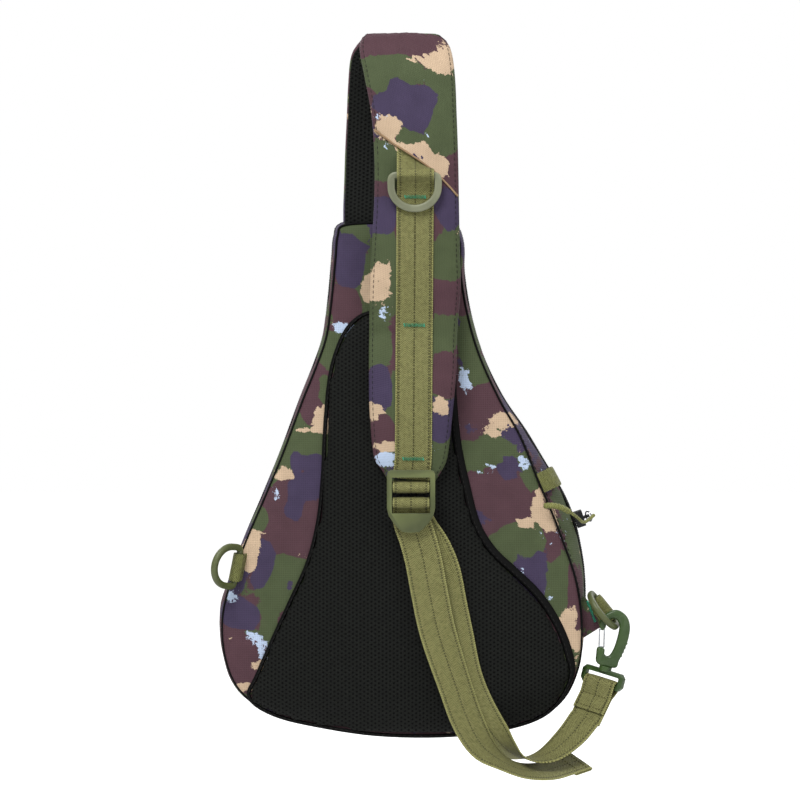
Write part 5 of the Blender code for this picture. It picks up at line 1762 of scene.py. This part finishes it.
def hook_gate():
    """One wire, bent into a narrow loop that closes the hook's mouth."""
    gate = Piece()
    foot = STEM + OVER * -6.2 + UP * 12.7
    tip = STEM + OVER * -8.7 + UP * 24.3
    rise = (tip - foot).normalized()
    length = (tip - foot).length
    wide = 2.0
    outline = [(-wide, 0), (-wide, length * .33), (-wide, length * .66), (-wide, length - .8),
               (-wide + .8, length), (wide - .8, length), (wide, length - .8),
               (wide, length * .66), (wide, length * .33), (wide, 0), (wide - .5, -.4),
               (-wide + .5, -.4)]
    leaf = (Y * 0.5 + OVER * 0.87).normalized()
    spots = smooth_points([foot + leaf * a + rise * b for a, b in outline], 3, True)
    gate.tube(spots, 0.5, 8, closed=True, up=leaf.cross(rise))
    gate.finish("gate_wire", "gate", [SILVER], ("snap_hook_gate",), "silver_wire", angle=80)


# ---------------------------------------------------------------- zip hardware
def body_step(z):
    """The outline step nearest to a height, on the right side."""
    return min((i for i in range(len(BODY)) if BODY[i][0] > 0), key=lambda i: abs(BODY[i][1] - z))


def joint_of(name):
    return next(j for j in frame["record"]["behaviour"]["joints"] if j["name"] == name)


LUG_HOLE = Vector(joint_of("main_pull_hinge")["pos_m"]) / MM
ZIP_RUN = Vector(joint_of("main_zip_slide")["axis"]).normalized()
ZIP_ACROSS = (Y - ZIP_RUN * ZIP_RUN.y).normalized()
ZIP_OUT = ZIP_ACROSS.cross(ZIP_RUN).normalized()
if ZIP_OUT.x < 0:
    ZIP_OUT = -ZIP_OUT
PULL_RING_RADIUS = 3.6
PULL_REST = (-ZIP_ACROSS * .87 + ZIP_OUT * .49).normalized()


def whipped(piece, spots, radius, turns):
    """A grip with a raised spiral, like cord wound round a core."""
    fine = smooth_points(spots, 8)
    sections = []
    sides = 12
    for k, (spot, run) in enumerate(zip(fine, tangents(fine))):
        side = run.cross(Z).normalized()
        other = side.cross(run).normalized()
        taper = 1 - 0.25 * max(0, 1 - 2 * min(k, len(fine) - 1 - k) / 4)
        ring = []
        for j in range(sides):
            turn = math.tau * j / sides
            bump = 0.16 * math.cos(turn - turns * math.tau * k / len(fine))
            ring.append(spot + (side * math.cos(turn) + other * math.sin(turn))
                        * radius * (taper + bump * 0.8))
        sections.append(ring)
    piece.loft(sections)


def sunk(p):
    """Lowers the slider's inner face onto the recessed coil."""
    height = (p - LUG_HOLE).dot(ZIP_OUT)
    return p - ZIP_OUT * 3.2 if height < -3.6 else p


def main_zip_hardware():
    """The slider, its split ring, and the cord with a whipped grip."""
    moulded("main_slider_body", "main_zip_slider", "main_slider", MAIN_SLIDER_ENAMEL, 0.45,
            shape=sunk)
    radius = PULL_RING_RADIUS
    ring = Piece()
    circle = around(LUG_HOLE + PULL_REST * radius, ZIP_RUN * radius, PULL_REST * radius, 28)
    ring.tube(circle, 0.5, 8, closed=True, up=PULL_REST.cross(ZIP_RUN))
    ring.finish("main_pull_ring", "main_pull", [SILVER], ("main_zip_ring",), "silver_wire",
                angle=80)
    start = LUG_HOLE + PULL_REST * (2 * radius + 2.2)
    route = [start - PULL_REST * 1.4, start, Vector((123, 17, -326)), Vector((117.5, 8, -322)),
             Vector((112.5, 1.5, -318.5))]
    cord = Piece()
    cord.tube(smooth_points(route, 6), 1.15, 10)
    cord.finish("main_pull_cord", "main_pull", [CORD], ("main_zip_cord",), "olive_cord", angle=80)
    grip = Piece()
    whipped(grip, [Vector((112.2, .9, -318.3)), Vector((106, -4.2, -315)),
                   Vector((100, -6.8, -313.6)), Vector((94, -8, -313.8))], 2.0, 8)
    grip.finish("main_pull_grip", "main_pull", [CORD], ("main_zip_grip",), "olive_plastic",
                angle=80)


def zip_end_tab():
    """Folded webbing sewn to the gusset, a little above the zip's pull."""
    i = body_step(-301)
    spots = []
    for share, rise in ((.02, .6), (.03, 1.6), (.05, 3.9), (.09, 6.4), (.14, 7.3), (.19, 6.4),
                        (.225, 3.9), (.24, 1.6), (.25, .6)):
        spots.append(body_point(i, share, rise))
    along = (body_point(i + 3, .2, 0) - body_point(i - 3, .2, 0))
    along.y = 0
    fine = smooth_points(spots, 4)
    piece = Piece()
    web_strip(piece, fine, [along.normalized()] * len(fine), 14.0, 1.4)
    piece.finish("zip_end_tab_webbing", "bag", [KEEPER], ("zip_end_tab",), "olive_webbing")


# ---------------------------------------------------------------- front pocket
POCKET_DEPTH = 16.0
POCKET_ZIP_Z = -319.5


def front_spot(x, z, out):
    """A point over the bag's front face, a distance out of it."""
    return Vector((x, depth(z) * 0.999 + out, z))


def pocket_outline():
    """The pocket's outline: four rounded corners joined by straight runs."""
    steps = 8
    corners = [(-54, -300, 12), (54, -300, 12), (76, -440, 24), (-76, -440, 24)]
    points = []
    count = len(corners)
    for k, (x, z, radius) in enumerate(corners):
        before = Vector(corners[k - 1][:2]) - Vector((x, z))
        after = Vector(corners[(k + 1) % count][:2]) - Vector((x, z))
        start = Vector((x, z)) + before.normalized() * radius
        end = Vector((x, z)) + after.normalized() * radius
        for step in range(steps + 1):
            t = step / steps
            points.append(start * (1 - t) ** 2 + Vector((x, z)) * 2 * t * (1 - t) + end * t ** 2)
        *beyond, beyond_radius = corners[(k + 1) % count]
        stop = Vector(beyond) - (Vector(beyond) - end).normalized() * beyond_radius
        for step in range(1, 12):
            points.append(end.lerp(stop, step / 12))
    return points


POCKET_BASE = POCKET_DEPTH + 0.3


def pocket_shell():
    """The pocket's raised walls, and a face that puffs out below the zip."""
    outline = pocket_outline()
    normals = normals_2d(outline)
    rings = []
    for inset, out in ((0, -1.5), (0, 2), (0, 5.5), (.1, 8.5), (.7, 11.2), (2.2, 13.6),
                       (4.6, 15.2), (8, 15.9)):
        ring = []
        for p, n in zip(outline, normals):
            spot = front_spot(p[0] - n[0] * inset, p[1] - n[1] * inset, out)
            spot += Vector((n[0], 0, n[1])) * 0.9 * crease(spot, 20, 71) * min(1, max(out, 0) / 6)
            ring.append(spot)
        rings.append(ring)
    middle = Vector((0, 0, -372))
    for t in (0.12, 0.25, 0.4, 0.56, 0.72, 0.88, 1.0):
        ring = []
        for p, n in zip(outline, normals):
            x, z = p[0] - n[0] * 8, p[1] - n[1] * 8
            x, z = x + (middle.x - x) * t, z + (middle.z - z) * t
            below = min(1, max(0, (-334 - z) / 20))
            puff = below * (2.6 * math.sin(min(t * 1.8, 1) * math.pi / 2)
                            + 0.8 * crease((x, 0, z), 22, 73))
            ring.append(front_spot(x, z, 15.9 + puff))
        rings.append(ring)
    piece = Piece()
    piece.loft(rings)
    row = [front_spot(p[0] - n[0] * 5.6, p[1] - n[1] * 5.6, 15.6) for p, n in zip(outline, normals)]
    piece.stitches(row + row[:1], Y, pitch=3.8, length=2.7, radius=0.26)
    piece.finish("front_pocket_shell", "front_cover", [CAMO, DARK_THREAD], ("front_pocket",),
                 "camo_fabric", box=True, ink=True)


def pocket_zip():
    """Tape with two rows of coil teeth, sewn to the pocket's face."""
    tape = Piece()
    base = POCKET_BASE
    profile = [(-7.5, -.3), (7.5, -.3), (7.6, .3), (7.2, .8), (2, .9), (-2, .9), (-7.2, .8),
               (-7.6, .3)]
    sections = []
    for k in range(45):
        x = -55 + 110 * k / 44
        sections.append([front_spot(x, POCKET_ZIP_Z + z, base + out
                                    + 0.12 * crease((x, z, 0), 8, 75)) for z, out in profile])
    tape.loft(sections)
    for side, lag in ((1, 0.0), (-1, TOOTH_LAG)):
        line = [front_spot(x, POCKET_ZIP_Z + side * 0.75, base + 1.4) for x in (-53, 0, 53)]
        tape.teeth(line, lag, lambda run: Z, 1.1, 0.62, 0.75)
    for z in (-5.6, 5.6):
        row = [front_spot(x, POCKET_ZIP_Z + z, base + 0.95) for x in (-54, 0, 54)]
        tape.stitches(row, Y, pitch=3.2, length=2.3, radius=0.22, slot=2)
    tape.finish("pocket_zip_band", "front_cover", [TAPE, COIL, DARK_THREAD],
                ("front_pocket_zip_tape",), "black_binding")


def pocket_pull():
    """The pocket zip's slider, with a cord loop that ends in a ribbed grip."""
    moulded("pocket_slider_body", "front_pocket_slider", "pocket_slider", POCKET_SLIDER_ENAMEL,
            0.4)
    pivot = Vector(joint_of("pocket_pull_hinge")["pos_m"]) / MM
    top = pivot.z - 1.9
    out = POCKET_BASE + 7.3

    def hang(drop):
        return front_spot(pivot.x, top - drop, out)

    cord = Piece()
    loop = [hang(14) - X * 0.9, hang(8) - X * 1.0, hang(2.6) - X * 0.7, hang(-1.0),
            hang(2.6) + X * 0.7, hang(8) + X * 1.0, hang(14) + X * 0.9]
    cord.tube(smooth_points(loop, 5), 0.55, 8, up=Y)
    cord.finish("pocket_pull_cord", "pocket_pull", [CORD], ("front_pocket_cord",), "olive_cord",
                angle=80)
    grip = Piece()
    core = smooth_points([hang(12.4), hang(22), hang(33)], 10)
    sections = []
    for k, spot in enumerate(core):
        ends = min(k, len(core) - 1 - k)
        reach = 2.05 * (0.7 if ends == 0 else 0.92 if ends == 1 else 1.0)
        reach += 0.22 * math.cos(k * math.pi) * (ends > 1)
        sections.append(around(spot, X * 1.15 * reach, Y * 0.85 * reach, 14))
    grip.loft(sections)
    grip.finish("pocket_pull_grip", "pocket_pull", [OLIVE_PLASTIC], ("front_pocket_grip",),
                "olive_plastic", angle=80)


# ---------------------------------------------------------------- the whole bag
stage_and_light()
zip_half("main_zip_rear_half", -1, "bag", "main_zip_tape_rear", 0.0)
zip_half("main_zip_front_half", 1, "front_cover", "main_zip_tape_front", TOOTH_LAG)
bag_shells()
linings()
inner_pocket()
lower_bellows()
back_pad()
strap_covers()
strap_lining()
strap_piping()
strap_webbing()
tacks()
rings()
wing()
webbing_tail()
webbing_load_run()
buckle_webbing()
hook_loop()
moulded("ladder_lock_moulding", "ladder_lock_frame", "ladder_lock", OLIVE_PLASTIC, 0.75,
        3, shape=lock_shape)
snap_hook()
hook_gate()
moulded("swivel_eye_moulding", "swivel_eye", "swivel", HOOK_GREEN, 0.8, 3)
main_zip_hardware()
zip_end_tab()
pocket_shell()
pocket_zip()
pocket_pull()
